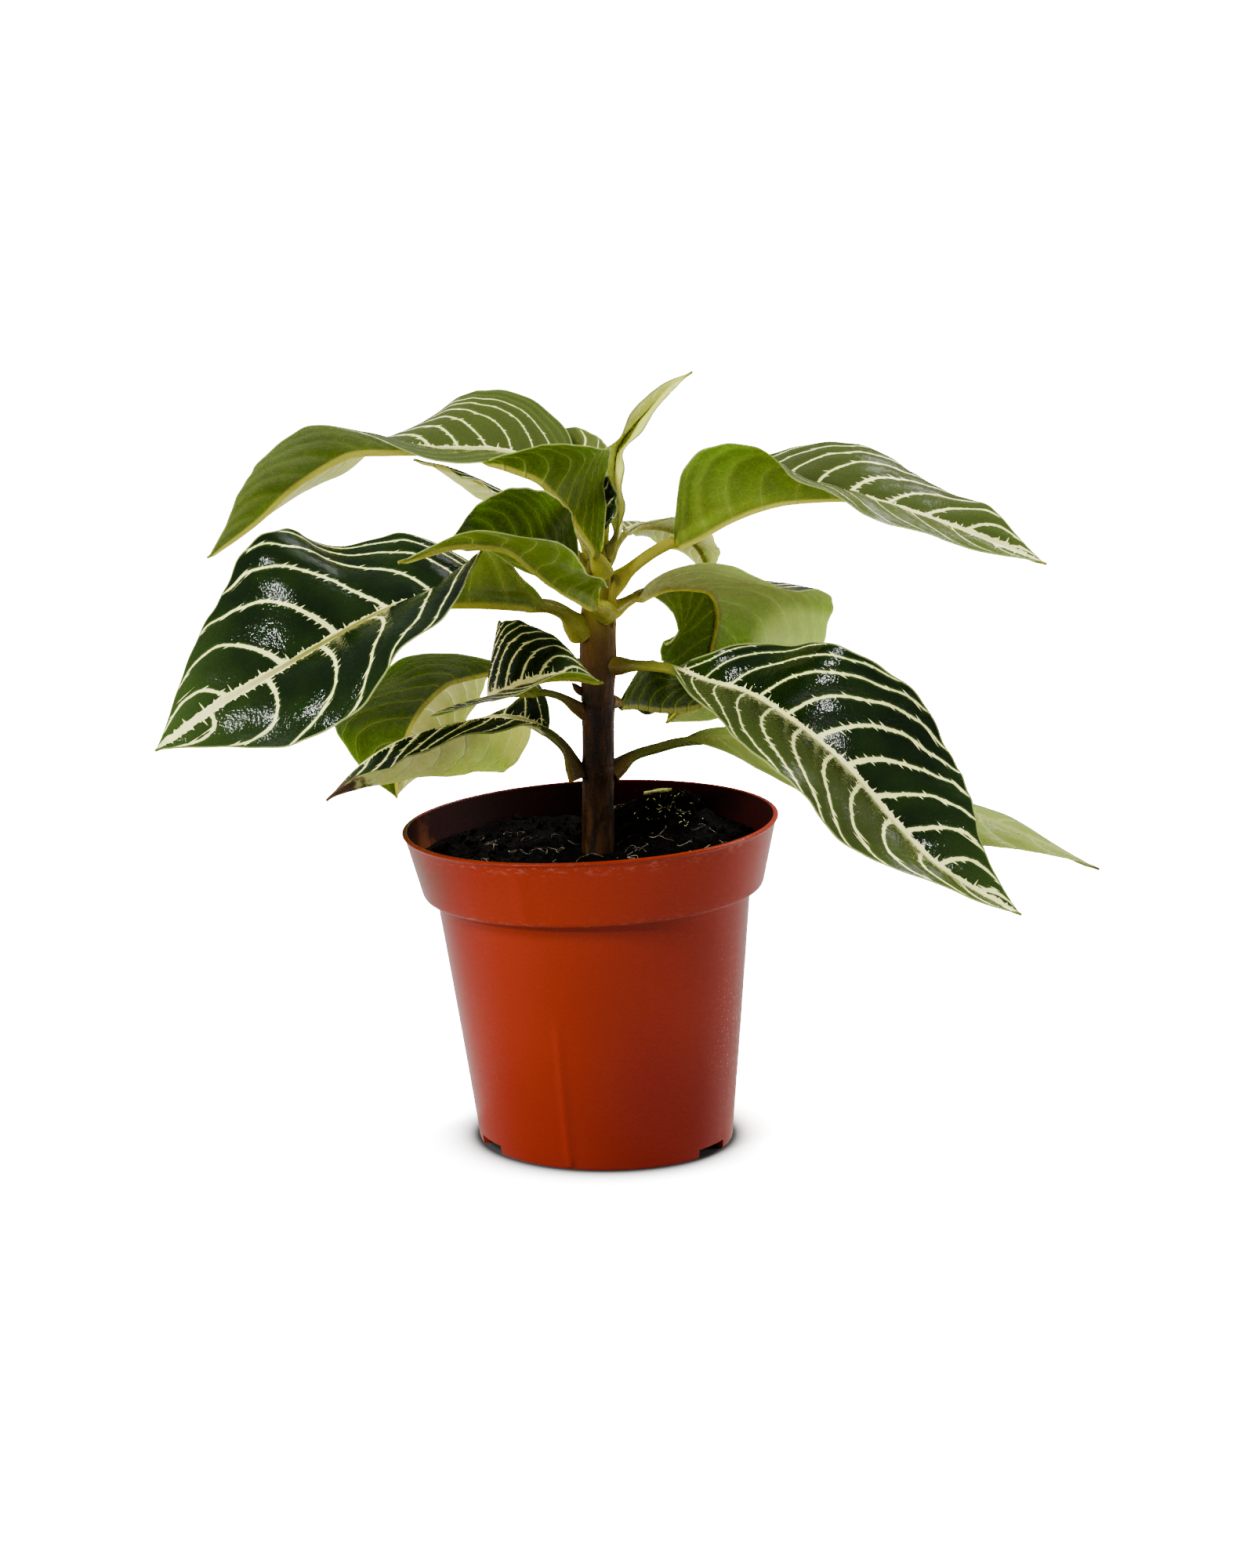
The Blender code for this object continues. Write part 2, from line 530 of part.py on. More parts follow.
def build_stem(material, collection, cutters):
    """One upright stem with swollen joints, a side bud and a small pointed bract."""
    steps = 30
    profile = [(0.0, STEM_TOP)]
    for k in range(steps + 1):
        z = STEM_TOP - 1.0 - (STEM_TOP - 1.0 - STEM_FOOT) * k / steps
        profile.append((stem_radius(z), z))
    profile.append((0.0, STEM_FOOT))
    stem = turned("stem", profile, STEM_SIDES, material, collection)
    shoots = (("side_bud", BUD_SIZE, BUD_PLACE, BUD_TILT), ("bract", BRACT_SIZE, BRACT_PLACE, BRACT_TILT))
    for name, size, spot, tilt in shoots:
        bpy.ops.mesh.primitive_uv_sphere_add(segments=10, ring_count=8, radius=1.0)
        shoot = bpy.context.object
        shoot.name = name
        shoot.scale = [value * MM for value in size]
        shoot.location = [value * MM for value in spot]
        shoot.rotation_euler = (0.0, math.radians(tilt), math.atan2(spot[1], abs(spot[0])))
        make_cutter(shoot, cutters)
        join = stem.modifiers.new(name, "BOOLEAN")
        join.operation = "UNION"
        join.object = shoot
    return stem


def build_scrap(soil, material, collection):
    """Dry scrap of leaf, slightly cupped, that lies a small gap above the soil's highest spot under it."""
    ground = BVHTree.FromObject(soil, bpy.context.evaluated_depsgraph_get())
    turn = math.radians(SCRAP_TURN)
    rows = []
    base = 0.0
    for share in (0.0, 0.2, 0.45, 0.7, 1.0):
        half = max(0.4, SCRAP_WIDTH / 2 * math.sin(math.pi * min(0.95, share + 0.05)))
        along = (share - 0.5) * SCRAP_LENGTH
        row = []
        for across, lift in ((-half, 0.9), (0.0, 0.0), (half, 0.6)):
            x = SCRAP_PLACE[0] + along * math.cos(turn) - across * math.sin(turn)
            y = SCRAP_PLACE[1] + along * math.sin(turn) + across * math.cos(turn)
            rise = lift + SCRAP_RISE * share
            hit = ground.ray_cast(Vector((x, y, SOIL_TOP * 2.0)) * MM, Vector((0.0, 0.0, -1.0)))[0]
            base = max(base, hit.z / MM + GAP - rise)
            row.append((x, y, rise))
        rows.append(row)
    thick = BLADE_THICKNESS
    closed = []
    for row in rows:
        upper = [(x, y, base + z + thick) for x, y, z in row]
        lower = [(x, y, base + z) for x, y, z in row]
        closed.append(upper + lower[::-1])
    return place("leaf_scrap", loft("leaf_scrap", closed), material, collection)


def main():
    """Clears the scene and builds every piece."""
    for old in list(bpy.data.objects):
        bpy.data.objects.remove(old)
    parts = bpy.data.collections.new("zebra_plant")
    cutters = bpy.data.collections.new("cutters")
    bpy.context.scene.collection.children.link(parts)
    bpy.context.scene.collection.children.link(cutters)

    plastic = principled("pot plastic", (0.42, 0.06, 0.015), 0.35)
    peat = principled("peat", (0.012, 0.009, 0.007), 0.95)
    bark = principled("stem skin", (0.07, 0.035, 0.015), 0.5)
    green = principled("leaf", (0.02, 0.07, 0.015), 0.3)
    dry = principled("dry leaf", (0.55, 0.55, 0.12), 0.6)

    build_pot(plastic, parts, cutters)
    soil = build_soil(peat, parts)
    build_scrap(soil, dry, parts)
    build_stem(bark, parts, cutters)
    for leaf in LEAVES:
        place(leaf.name, leaf_mesh(leaf), green, parts)


main()
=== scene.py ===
"""Looks of a young zebra plant in a plastic nursery pot.

Blender 4.5, metres, +Z up, in the frame of the solid model. The origin is on the
ground under the stem and the viewer's side is -Y. Shapes, and the marks on the
leaves that their finishes read, are worked out in millimetres.
"""

import logging
import random
from dataclasses import dataclass, field
from enum import Enum
from math import atan2, ceil, cos, exp, hypot, log, pi, radians, remainder, sin, sqrt

import bmesh
import bpy
import numpy as np
from mathutils import Matrix, Vector, noise
from mathutils.bvhtree import BVHTree


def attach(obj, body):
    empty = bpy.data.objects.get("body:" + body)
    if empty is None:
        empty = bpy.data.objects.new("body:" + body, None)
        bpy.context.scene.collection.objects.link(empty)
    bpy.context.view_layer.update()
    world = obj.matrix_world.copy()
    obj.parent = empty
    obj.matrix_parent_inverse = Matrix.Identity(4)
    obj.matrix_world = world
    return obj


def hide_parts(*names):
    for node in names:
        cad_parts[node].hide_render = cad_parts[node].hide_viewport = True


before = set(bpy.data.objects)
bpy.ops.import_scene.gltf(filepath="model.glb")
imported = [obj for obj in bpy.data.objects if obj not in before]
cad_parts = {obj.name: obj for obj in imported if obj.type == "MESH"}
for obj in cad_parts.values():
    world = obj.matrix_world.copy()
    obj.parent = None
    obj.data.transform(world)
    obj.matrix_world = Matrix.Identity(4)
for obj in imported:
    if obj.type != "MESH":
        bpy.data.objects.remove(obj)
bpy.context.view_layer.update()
LOG = logging.getLogger("zebra_plant")

Colour = tuple[float, float, float]
Point = tuple[float, float, float]
# Start and end of an eased step, and its results there where they aren't 0 and 1.
Ramp = tuple[float, ...]
Array = np.ndarray
Material = bpy.types.Material
Mesh = bpy.types.Mesh
Socket = bpy.types.NodeSocket
Thing = bpy.types.Object

MM = 0.001
# Space in mm between pieces that touch.
GAP = 0.3
# A direction that no tube starts along.
ASIDE = (0.3, 0.2, 0.93)
FULL_TURN = 2 * pi
WHITE = (1.0, 1.0, 1.0)


class Slot(Enum):
    """Names of the material slots."""
    PLASTIC = "pot_plastic"
    PEAT = "peat_soil"
    BARK = "stem_skin"
    DRY = "dry_leaf"
    LEAF = "leaf_green"


class Fineness(Enum):
    """Stations along a blade and columns across one half of it."""
    BROAD = (190, 30)
    MIDDLE = (120, 20)
    SMALL = (90, 14)

    @property
    def stations(self) -> int:
        """Rows along the blade."""
        return self.value[0]

    @property
    def columns(self) -> int:
        """Columns from the rib to one margin."""
        return self.value[1]


def spline(values: list, at: Array) -> Array:
    """Smooth curve through a list of values or points.

    Args:
        values: Numbers, evenly spaced, or points, spaced by their distances.
        at: Fractions of the whole, from 0 to 1.

    Returns:
        One row for each fraction.
    """
    values = np.asarray(values, float)
    if values.ndim == 1:
        values = values[:, None]
        knots = np.linspace(0.0, 1.0, len(values))
    else:
        steps = np.linalg.norm(np.diff(values, axis=0), axis=1)
        knots = np.concatenate([[0.0], np.cumsum(steps)]) / steps.sum()
    slopes = np.gradient(values, knots, axis=0)
    at = np.clip(np.asarray(at, float), 0.0, 1.0)
    k = np.clip(np.searchsorted(knots, at, side="right") - 1, 0, len(knots) - 2)
    width = (knots[k + 1] - knots[k])[:, None]
    u = (at - knots[k])[:, None] / width
    start = (2 * u**3 - 3 * u**2 + 1) * values[k] + (u**3 - 2 * u**2 + u) * width * slopes[k]
    end = (3 * u**2 - 2 * u**3) * values[k + 1] + (u**3 - u**2) * width * slopes[k + 1]
    return start + end


def smooth_step(share: Array) -> Array:
    """Eased share, held between 0 and 1."""
    share = np.clip(share, 0.0, 1.0)
    return share * share * (3.0 - 2.0 * share)


def unit(vectors: Array) -> Array:
    """Vectors scaled to length 1 along their last axis."""
    return vectors / np.linalg.norm(vectors, axis=-1, keepdims=True)


def grid_faces(rows: int, columns: int, start: int = 0, wrap: bool = False, flip: bool = False) -> list:
    """Quads of a grid of vertices.

    Args:
        rows: Number of rows of vertices.
        columns: Number of vertices in a row.
        start: Index of the first vertex.
        wrap: Whether the last column joins the first.
        flip: Whether the faces look the other way.

    Returns:
        Vertex indices of each quad.
    """
    faces = []
    for i in range(rows - 1):
        for j in range(columns if wrap else columns - 1):
            k = (j + 1) % columns
            a = start + i * columns
            b = a + columns
            quad = (a + j, a + k, b + k, b + j)
            faces.append(quad[::-1] if flip else quad)
    return faces


def put(name: str, data: bpy.types.ID) -> Thing:
    """Puts a new object in the scene.

    Args:
        name: Name of the object.
        data: Its mesh, lamp or camera.

    Returns:
        The object.
    """
    thing = bpy.data.objects.new(name, data)
    bpy.context.scene.collection.objects.link(thing)
    return thing


def add_piece(name: str, mesh: Mesh, finishes: list, stands_for: str = "",
              sharp_angle: float = 50.0) -> Thing:
    """Puts a mesh in the scene as a piece that rides on the plant.

    Args:
        name: Name of the piece.
        mesh: Its mesh, in metres.
        finishes: Materials in the order of the mesh's slots.
        stands_for: Solid node that it replaces, if any.
        sharp_angle: Edges bent more than this many degrees stay sharp.

    Returns:
        The new object.
    """
    thing = put(name, mesh)
    mesh.name = name
    mesh.materials.clear()
    for finish in finishes:
        mesh.materials.append(finish)
    mesh.shade_smooth()
    mesh.set_sharp_from_angle(angle=radians(sharp_angle))
    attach(thing, "root")
    if stands_for:
        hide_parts(stands_for)
    LOG.info("%s: %d faces", name, len(mesh.polygons))
    return thing


def join_shapes(name: str, shapes: list) -> Mesh:
    """Joins lists of vertices and faces into one mesh.

    Args:
        name: Name of the mesh.
        shapes: Pairs of vertices in mm and faces.

    Returns:
        The mesh, in metres.
    """
    points = []
    faces = []
    for vertices, own_faces in shapes:
        start = len(points)
        points.extend(tuple(np.asarray(vertex) * MM) for vertex in vertices)
        faces.extend(tuple(start + index for index in face) for face in own_faces)
    mesh = bpy.data.meshes.new(name)
    mesh.from_pydata(points, [], faces)
    return mesh


def add_marks(mesh: Mesh, name: str, values: Array) -> None:
    """Keeps three numbers for each vertex in a named attribute of the mesh."""
    layer = mesh.attributes.new(name, "FLOAT_VECTOR", "POINT")
    layer.data.foreach_set("vector", np.asarray(values, np.float32).ravel())


def tube(points: Array, radii: Array, sides: int) -> tuple:
    """Closed tube along a line of points.

    Args:
        points: Centre line in mm.
        radii: Radius at each point in mm.
        sides: Sides of the tube.

    Returns:
        Vertices and faces.
    """
    tangents = unit(np.gradient(points, axis=0))
    side = np.cross(tangents[0], ASIDE)
    vertices = []
    for centre, tangent, radius in zip(points, tangents, radii):
        side = unit(side - np.dot(side, tangent) * tangent)
        other = np.cross(tangent, side)
        for k in range(sides):
            angle = FULL_TURN * k / sides
            vertices.append(centre + radius * (cos(angle) * side + sin(angle) * other))
    faces = grid_faces(len(points), sides, wrap=True)
    last = len(vertices) - sides
    faces.append(tuple(range(sides))[::-1])
    faces.append(tuple(range(last, last + sides)))
    return vertices, faces


class NodePen:
    """Draws a material's nodes one call at a time round one Principled shader.

    A value is either a plain number or colour, or another node's output.
    """

    TOOTH_POWER = 1.6
    SPECK_CORE = 0.6

    def __init__(self, name: str) -> None:
        """Starts a material with only its shader and output.

        Args:
            name: Name of the material.
        """
        self.material = bpy.data.materials.new(name)
        self.material.use_nodes = True
        self.tree = self.material.node_tree
        self.shader = self.tree.nodes["Principled BSDF"]

    def add(self, kind: str, **settings: object) -> bpy.types.Node:
        """Adds a node.

        Args:
            kind: Type of the node.
            **settings: Its properties by name.

        Returns:
            The node.
        """
        node = self.tree.nodes.new(kind)
        for name, value in settings.items():
            setattr(node, name, value)
        return node

    def feed(self, socket: Socket, value: object) -> None:
        """Links an output to an input, or sets a plain value on it.

        Args:
            socket: The input.
            value: The output or the plain value.
        """
        if isinstance(value, Socket):
            self.tree.links.new(value, socket)
        else:
            socket.default_value = value

    def math(self, operation: str, *values: object, clamp: bool = False) -> Socket:
        """Works out a number from others.

        Args:
            operation: What the Math node does.
            *values: What it does that to.
            clamp: Whether the result is held between 0 and 1.

        Returns:
            The result.
        """
        node = self.add("ShaderNodeMath", operation=operation, use_clamp=clamp)
        for socket, value in zip(node.inputs, values):
            self.feed(socket, value)
        return node.outputs[0]

    def plus(self, first: object, second: object) -> Socket:
        """Sum of two values."""
        return self.math("ADD", first, second)

    def minus(self, first: object, second: object) -> Socket:
        """First value less the second."""
        return self.math("SUBTRACT", first, second)

    def times(self, first: object, second: object) -> Socket:
        """Product of two values."""
        return self.math("MULTIPLY", first, second)

    def scaled(self, value: object, factor: object, offset: object) -> Socket:
        """Value times a factor, plus an offset."""
        return self.math("MULTIPLY_ADD", value, factor, offset)

    def larger(self, first: object, second: object) -> Socket:
        """Larger of two values."""
        return self.math("MAXIMUM", first, second)

    def sign(self, value: object) -> Socket:
        """Sign of a value, as -1, 0 or 1."""
        return self.math("SIGN", value)

    def unsigned(self, value: object) -> Socket:
        """Value without its sign."""
        return self.math("ABSOLUTE", value)

    def rest(self, share: object) -> Socket:
        """What a share leaves of the whole, held between 0 and 1."""
        return self.math("SUBTRACT", 1.0, share, clamp=True)

    def attribute(self, name: str) -> tuple:
        """The three numbers kept in a vector attribute of the mesh."""
        source = self.add("ShaderNodeAttribute", attribute_name=name)
        return self.parts(source.outputs["Vector"])

    def parts(self, vector: Socket) -> tuple:
        """Splits a vector.

        Args:
            vector: The vector.

        Returns:
            Its three numbers.
        """
        split = self.add("ShaderNodeSeparateXYZ")
        self.feed(split.inputs[0], vector)
        return tuple(split.outputs)

    def place(self) -> Socket:
        """Place on the object in metres."""
        return self.add("ShaderNodeTexCoord").outputs["Object"]

    def height(self) -> Socket:
        """Height on the object in metres."""
        return self.parts(self.place())[2]

    def from_axis(self) -> Socket:
        """Works out the distance from the stem's upright axis.

        Returns:
            The distance in metres.
        """
        flat = self.add("ShaderNodeVectorMath", operation="MULTIPLY")
        self.feed(flat.inputs[0], self.place())
        self.feed(flat.inputs[1], (1.0, 1.0, 0.0))
        length = self.add("ShaderNodeVectorMath", operation="LENGTH")
        self.feed(length.inputs[0], flat.outputs[0])
        return length.outputs["Value"]

    def noise(self, scale: float, detail: float = 2.0, rough: float = 0.5,
              squeeze: Point = (1.0, 1.0, 1.0)) -> Socket:
        """Noise over the object.

        Args:
            scale: Features per metre.
            detail: Octaves.
            rough: Strength of each finer octave.
            squeeze: Factors on the three directions, for drawn-out grain.

        Returns:
            The noise's value, about 0.5 on average.
        """
        stretch = self.add("ShaderNodeMapping")
        stretch.inputs["Scale"].default_value = squeeze
        self.feed(stretch.inputs[0], self.place())
        node = self.add("ShaderNodeTexNoise")
        self.feed(node.inputs["Vector"], stretch.outputs[0])
        node.inputs["Scale"].default_value = scale
        node.inputs["Detail"].default_value = detail
        node.inputs["Roughness"].default_value = rough
        return node.outputs["Fac"]

    def cells(self, scale: float) -> Socket:
        """Net of cells over the object.

        Args:
            scale: Cells per metre.

        Returns:
            Distance from the nearest edge, in cells.
        """
        node = self.add("ShaderNodeTexVoronoi", feature="DISTANCE_TO_EDGE")
        self.feed(node.inputs["Vector"], self.place())
        node.inputs["Scale"].default_value = scale
        return node.outputs["Distance"]

    def scatter(self, dimensions: str, where: Socket, scale: float) -> tuple:
        """Scatters points along a line or through space.

        Args:
            dimensions: 1D or 3D.
            where: Place along the line or in space.
            scale: Points per unit of that place.

        Returns:
            Distance to the nearest point, as a share of the spacing, and that point's
            own random number.
        """
        node = self.add("ShaderNodeTexVoronoi", voronoi_dimensions=dimensions, feature="F1")
        self.feed(node.inputs["W" if dimensions == "1D" else "Vector"], where)
        node.inputs["Scale"].default_value = scale
        split = self.add("ShaderNodeSeparateColor")
        self.feed(split.inputs[0], node.outputs["Color"])
        return node.outputs["Distance"], split.outputs[0]

    def spikes(self, run: Socket, pitch: float, foot: float) -> Socket:
        """Thin spikes of uneven length along a line.

        Args:
            run: Place along the line, with an offset of its own for each line.
            pitch: Mean spacing of the spikes.
            foot: Half width of a spike's foot, as a share of the spacing.

        Returns:
            Height of the spike, from 0 to 1.
        """
        distance, chance = self.scatter("1D", self.math("DIVIDE", run, pitch), 1.0)
        tooth = self.rest(self.math("DIVIDE", distance, foot))
        return self.times(tooth, self.math("POWER", chance, self.TOOTH_POWER))

    def specks(self, scale: float, size: float, share: float) -> Socket:
        """Scattered small round spots.

        Args:
            scale: Places for a spot per metre.
            size: Radius of a spot, as a share of the spacing of the places.
            share: Share of the places that hold a spot.

        Returns:
            1 on a spot and 0 elsewhere.
        """
        distance, chance = self.scatter("3D", self.place(), scale)
        spot = self.ramp(distance, size, size * self.SPECK_CORE)
        return self.times(spot, self.math("LESS_THAN", chance, share))

    def ramp(self, value: object, start: object, end: object, first: object = 0.0,
             last: object = 1.0) -> Socket:
        """Eased step of a value between two limits.

        Args:
            value: Number to read.
            start: Where the step starts.
            end: Where it ends, which may be the smaller limit.
            first: Result at the start.
            last: Result at the end.

        Returns:
            The result, which stays between the first and the last.
        """
        node = self.add("ShaderNodeMapRange", interpolation_type="SMOOTHSTEP")
        for socket, given in zip(node.inputs, (value, start, end, first, last)):
            self.feed(socket, given)
        return node.outputs[0]

    def mix(self, share: object, first: object, second: object) -> Socket:
        """Mixes two colours.

        Args:
            share: Share of the second colour.
            first: The first colour.
            second: The second colour.

        Returns:
            The mixed colour.
        """
        node = self.add("ShaderNodeMix", data_type="RGBA")
        self.feed(node.inputs[0], share)
        for socket, value in ((node.inputs[6], first), (node.inputs[7], second)):
            self.feed(socket, value if isinstance(value, Socket) else (*value, 1.0))
        return node.outputs[2]

    def bump(self, height: Socket, distance: float) -> None:
        """Roughens the surface.

        Args:
            height: Height pattern.
            distance: Height in metres for 1 in the pattern.
        """
        node = self.add("ShaderNodeBump")
        node.inputs["Distance"].default_value = distance
        self.feed(node.inputs["Height"], height)
        self.feed(self.shader.inputs["Normal"], node.outputs[0])

    def surface(self, **inputs: object) -> Material:
        """Sets the shader's inputs.

        Args:
            **inputs: Values by the inputs' names, with underscores for spaces.

        Returns:
            The finished material.
        """
        for name, value in inputs.items():
            socket = self.shader.inputs[name.replace("_", " ")]
            if isinstance(value, tuple) and len(value) == 3 and socket.type == "RGBA":
                value = (*value, 1.0)
            self.feed(socket, value)
        return self.material


@dataclass(frozen=True)
class Mottle:
    """Uneven pattern: noise, in features per metre, read through an eased step."""
    scale: float
    limits: Ramp
    detail: float = 2.0
    rough: float = 0.5
    squeeze: Point = (1.0, 1.0, 1.0)

    def draw(self, pen: NodePen) -> Socket:
        """Adds the pattern to a material."""
        return pen.ramp(pen.noise(self.scale, self.detail, self.rough, self.squeeze), *self.limits)


@dataclass(frozen=True)
class Spines:
    """Spines along a cream vein: their spacing in mm, a foot's share of it, and their length."""
    pitch: float
    foot: float
    per_width: float
    least: float

    def draw(self, pen: NodePen, run: Socket, width: Socket) -> Socket:
        """Adds the spines along a run in mm, as how far the vein's edge juts out in mm."""
        spikes = pen.spikes(run, self.pitch, self.foot)
        return pen.times(spikes, pen.scaled(width, self.per_width, self.least))


class LeafPen(NodePen):
    """Pen for a leaf's finish, which also holds what the mesh says of each place on the leaf.

    count, pitch, width: side veins counted from the base, their spacing and half width.
    off, rib_width, run: distance from the rib, less than 0 on the left half, the rib's
    half width, and place along a side vein. rim, along, stalk: distance from the margin,
    share of the blade, and 1 on the stalk. pale, dry, core, top_pale_and_sheen, plain, yellow: as
    in Leaf. Lengths are in mm.
    """

    def __init__(self, name: str) -> None:
        """Starts the material and reads the marks.

        Args:
            name: Name of the material.
        """
        super().__init__(name)
        self.count, self.pitch, self.width = self.attribute("vein")
        self.off, self.rib_width, self.run = self.attribute("rib")
        self.rim, self.along, self.stalk = self.attribute("spot")
        self.pale, self.dry, self.core = self.attribute("tone")
        self.top_pale_and_sheen, self.plain, self.yellow = self.attribute("mood")


@dataclass(frozen=True)
class LeafFinish:
    """What both sides of a leaf share: how the side veins wander, the stalk and the withering.

    Here and in both sides, widths are in mm and scales are features per metre.
    """
    stalk: Colour
    yellow_stalk: Colour
    brown: Colour
    edge: float
    stalk_base: Colour = (0.075, 0.042, 0.006)
    base_near: Ramp = (0.016, 0.008)
    base_low: Ramp = (0.180, 0.165)
    wander_scale: float = 90.0
    wander: float = 0.10
    wither_scale: float = 170.0
    wither: Ramp = (0.85, 1.05)

    def nearest_vein(self, pen: LeafPen) -> tuple:
        """Finds the side vein nearest to each place.

        Args:
            pen: The material's nodes.

        Returns:
            The vein's number, how far past it the place is, as a share of the spacing,
            and the distance from it in mm.
        """
        swing = pen.times(pen.minus(pen.noise(self.wander_scale), 0.5), self.wander)
        count = pen.plus(pen.count, swing)
        number = pen.math("ROUND", count)
        past = pen.minus(count, number)
        return number, past, pen.times(pen.unsigned(past), pen.pitch)

    def band(self, pen: NodePen, away: Socket, reach: Socket) -> Socket:
        """1 within the reach of a line and 0 outside, with a soft edge."""
        return pen.ramp(away, pen.plus(reach, self.edge), pen.minus(reach, self.edge))

    def over_stalk(self, pen: LeafPen, colour: Socket) -> Socket:
        """Puts the stalk's colours on the stalk, with brown where it leaves the old stem.

        Args:
            pen: The material's nodes.
            colour: The blade's colour.

        Returns:
            The colour of blade and stalk.
        """
        stalk = pen.mix(pen.yellow, self.stalk, self.yellow_stalk)
        near = pen.ramp(pen.from_axis(), *self.base_near)
        woody = pen.times(near, pen.ramp(pen.height(), *self.base_low))
        return pen.mix(pen.stalk, colour, pen.mix(woody, stalk, self.stalk_base))

    def withered(self, pen: LeafPen) -> Socket:
        """1 where a dry tip has turned brown, with a ragged edge."""
        dry = pen.plus(pen.dry, pen.noise(self.wither_scale, detail=3.0))
        return pen.ramp(dry, *self.wither)


@dataclass(frozen=True)
class LeafTop(LeafFinish):
    """Upper side of a leaf: very dark and glossy green between spiny cream veins.

    The shifts keep the spines of neighbouring veins, halves and flanks from matching.
    """
    stalk: Colour = (0.075, 0.085, 0.010)
    yellow_stalk: Colour = (0.22, 0.20, 0.013)
    brown: Colour = (0.055, 0.028, 0.012)
    edge: float = 0.11
    dark: Colour = (0.0014, 0.0054, 0.0005)
    lighter: Colour = (0.0048, 0.0135, 0.0009)
    halo: Colour = (0.030, 0.060, 0.008)
    # Pale grey green, partly a faded leaf's own colour and partly painted sheen.
    faded_and_sheen: Colour = (0.20, 0.26, 0.045)
    blanched: Colour = (0.52, 0.55, 0.085)
    margin: Colour = (0.20, 0.24, 0.06)
    cream: Colour = (0.95, 0.93, 0.37)
    cream_shade: Colour = (0.58, 0.61, 0.22)
    rib_core: Colour = (0.17, 0.165, 0.022)
    mottle: Mottle = Mottle(55.0, (0.35, 0.75), detail=3.0)
    tip_halo: Ramp = (0.7, 1.0, 0.0, 0.6)
    vein_halo: float = 0.9
    vein_halo_share: float = 0.5
    blanching: Ramp = (1.0, 1.5)
    at_margin: Ramp = (0.75, 0.3, 0.0, 0.8)
    cream_scale: float = 260.0
    uneven: Mottle = Mottle(420.0, (0.32, 0.68, 0.68, 1.2), detail=3.0, rough=0.6)
    drawn_from: Ramp = (0.05, 0.16)
    vein_spines: Spines = Spines(2.9, 0.13, 2.6, 0.25)
    rib_spines: Spines = Spines(2.3, 0.14, 1.9, 0.25)
    vein_shift: float = 37.1
    half_shift: float = 11.3
    flank_shift: float = 5.7
    rib_shift: float = 23.0
    rib_length: float = 140.0
    core_outer: float = 0.85
    core_inner: float = 0.4
    core_along: Ramp = (0.95, 0.6)
    flecks: tuple = (150.0, 0.11, 0.55)
    gloss: Mottle = Mottle(70.0, (0.3, 0.7, 0.06, 0.17), detail=3.0)
    vein_matt: float = 0.14
    wrinkle_scale: float = 300.0
    grain_scale: float = 1200.0
    grain_share: float = 0.35
    vein_sink: float = 0.5
    relief: float = 0.0003

    def veins(self, pen: LeafPen) -> tuple:
        """Draws the cream side veins and rib with their spines.

        Args:
            pen: The material's nodes.

        Returns:
            1 on the cream, and the strength of the halo beside the side veins.
        """
        number, past, away = self.nearest_vein(pen)
        half = pen.sign(pen.off)
        own = pen.scaled(number, self.vein_shift, pen.times(half, self.half_shift))
        own = pen.plus(own, pen.times(pen.sign(past), self.flank_shift))
        uneven = self.uneven.draw(pen)
        jag = self.vein_spines.draw(pen, pen.plus(pen.run, own), pen.width)
        reach = pen.plus(pen.times(pen.width, uneven), jag)
        line = pen.times(self.band(pen, away, reach), pen.ramp(pen.width, *self.drawn_from))
        halo = pen.ramp(away, pen.plus(reach, self.vein_halo), reach, 0.0, self.vein_halo_share)

        rib_run = pen.scaled(pen.along, self.rib_length, pen.times(half, self.rib_shift))
        rib_jag = self.rib_spines.draw(pen, rib_run, pen.rib_width)
        rib_reach = pen.plus(pen.times(pen.rib_width, uneven), rib_jag)
        rib = self.band(pen, pen.unsigned(pen.off), rib_reach)
        cream = pen.times(pen.larger(line, rib), pen.rest(pen.stalk))
        return pen.times(cream, pen.rest(pen.plain)), halo

    def material(self) -> Material:
        """Builds the upper side's material.

        Returns:
            The material.
        """
        pen = LeafPen("leaf_top")
        veins, halo = self.veins(pen)
        ground = pen.mix(self.mottle.draw(pen), self.dark, self.lighter)
        ground = pen.mix(pen.ramp(pen.along, *self.tip_halo), ground, self.halo)
        ground = pen.mix(halo, ground, self.halo)
        # Paler upper side, partly the leaf's own tone and partly painted sheen.
        ground = pen.mix(pen.top_pale_and_sheen, ground, self.faded_and_sheen)
        ground = pen.mix(pen.ramp(pen.top_pale_and_sheen, *self.blanching), ground, self.blanched)
        ground = pen.mix(pen.ramp(pen.rim, *self.at_margin), ground, self.margin)
        cream = pen.mix(pen.noise(self.cream_scale), self.cream, self.cream_shade)
        colour = pen.mix(veins, ground, cream)
        core_edges = [pen.times(pen.rib_width, share) for share in (self.core_outer, self.core_inner)]
        core = pen.ramp(pen.unsigned(pen.off), *core_edges)
        core = pen.times(core, pen.ramp(pen.along, *self.core_along))
        colour = pen.mix(pen.times(core, pen.core), colour, self.rib_core)
        colour = self.over_stalk(pen, colour)
        flecks = pen.times(pen.top_pale_and_sheen, pen.specks(*self.flecks))
        colour = pen.mix(pen.larger(self.withered(pen), flecks), colour, self.brown)

        gloss = pen.scaled(veins, self.vein_matt, self.gloss.draw(pen))
        wrinkles = pen.noise(self.wrinkle_scale, detail=3.0, rough=0.6)
        grain = pen.scaled(pen.noise(self.grain_scale, rough=0.6), self.grain_share, wrinkles)
        pen.bump(pen.minus(grain, pen.times(veins, self.vein_sink)), self.relief)
        return pen.surface(Base_Color=colour, Roughness=gloss, Specular_IOR_Level=0.26,
                              Subsurface_Weight=0.1, Subsurface_Scale=0.001,
                              Subsurface_Radius=(0.6, 1.0, 0.2))


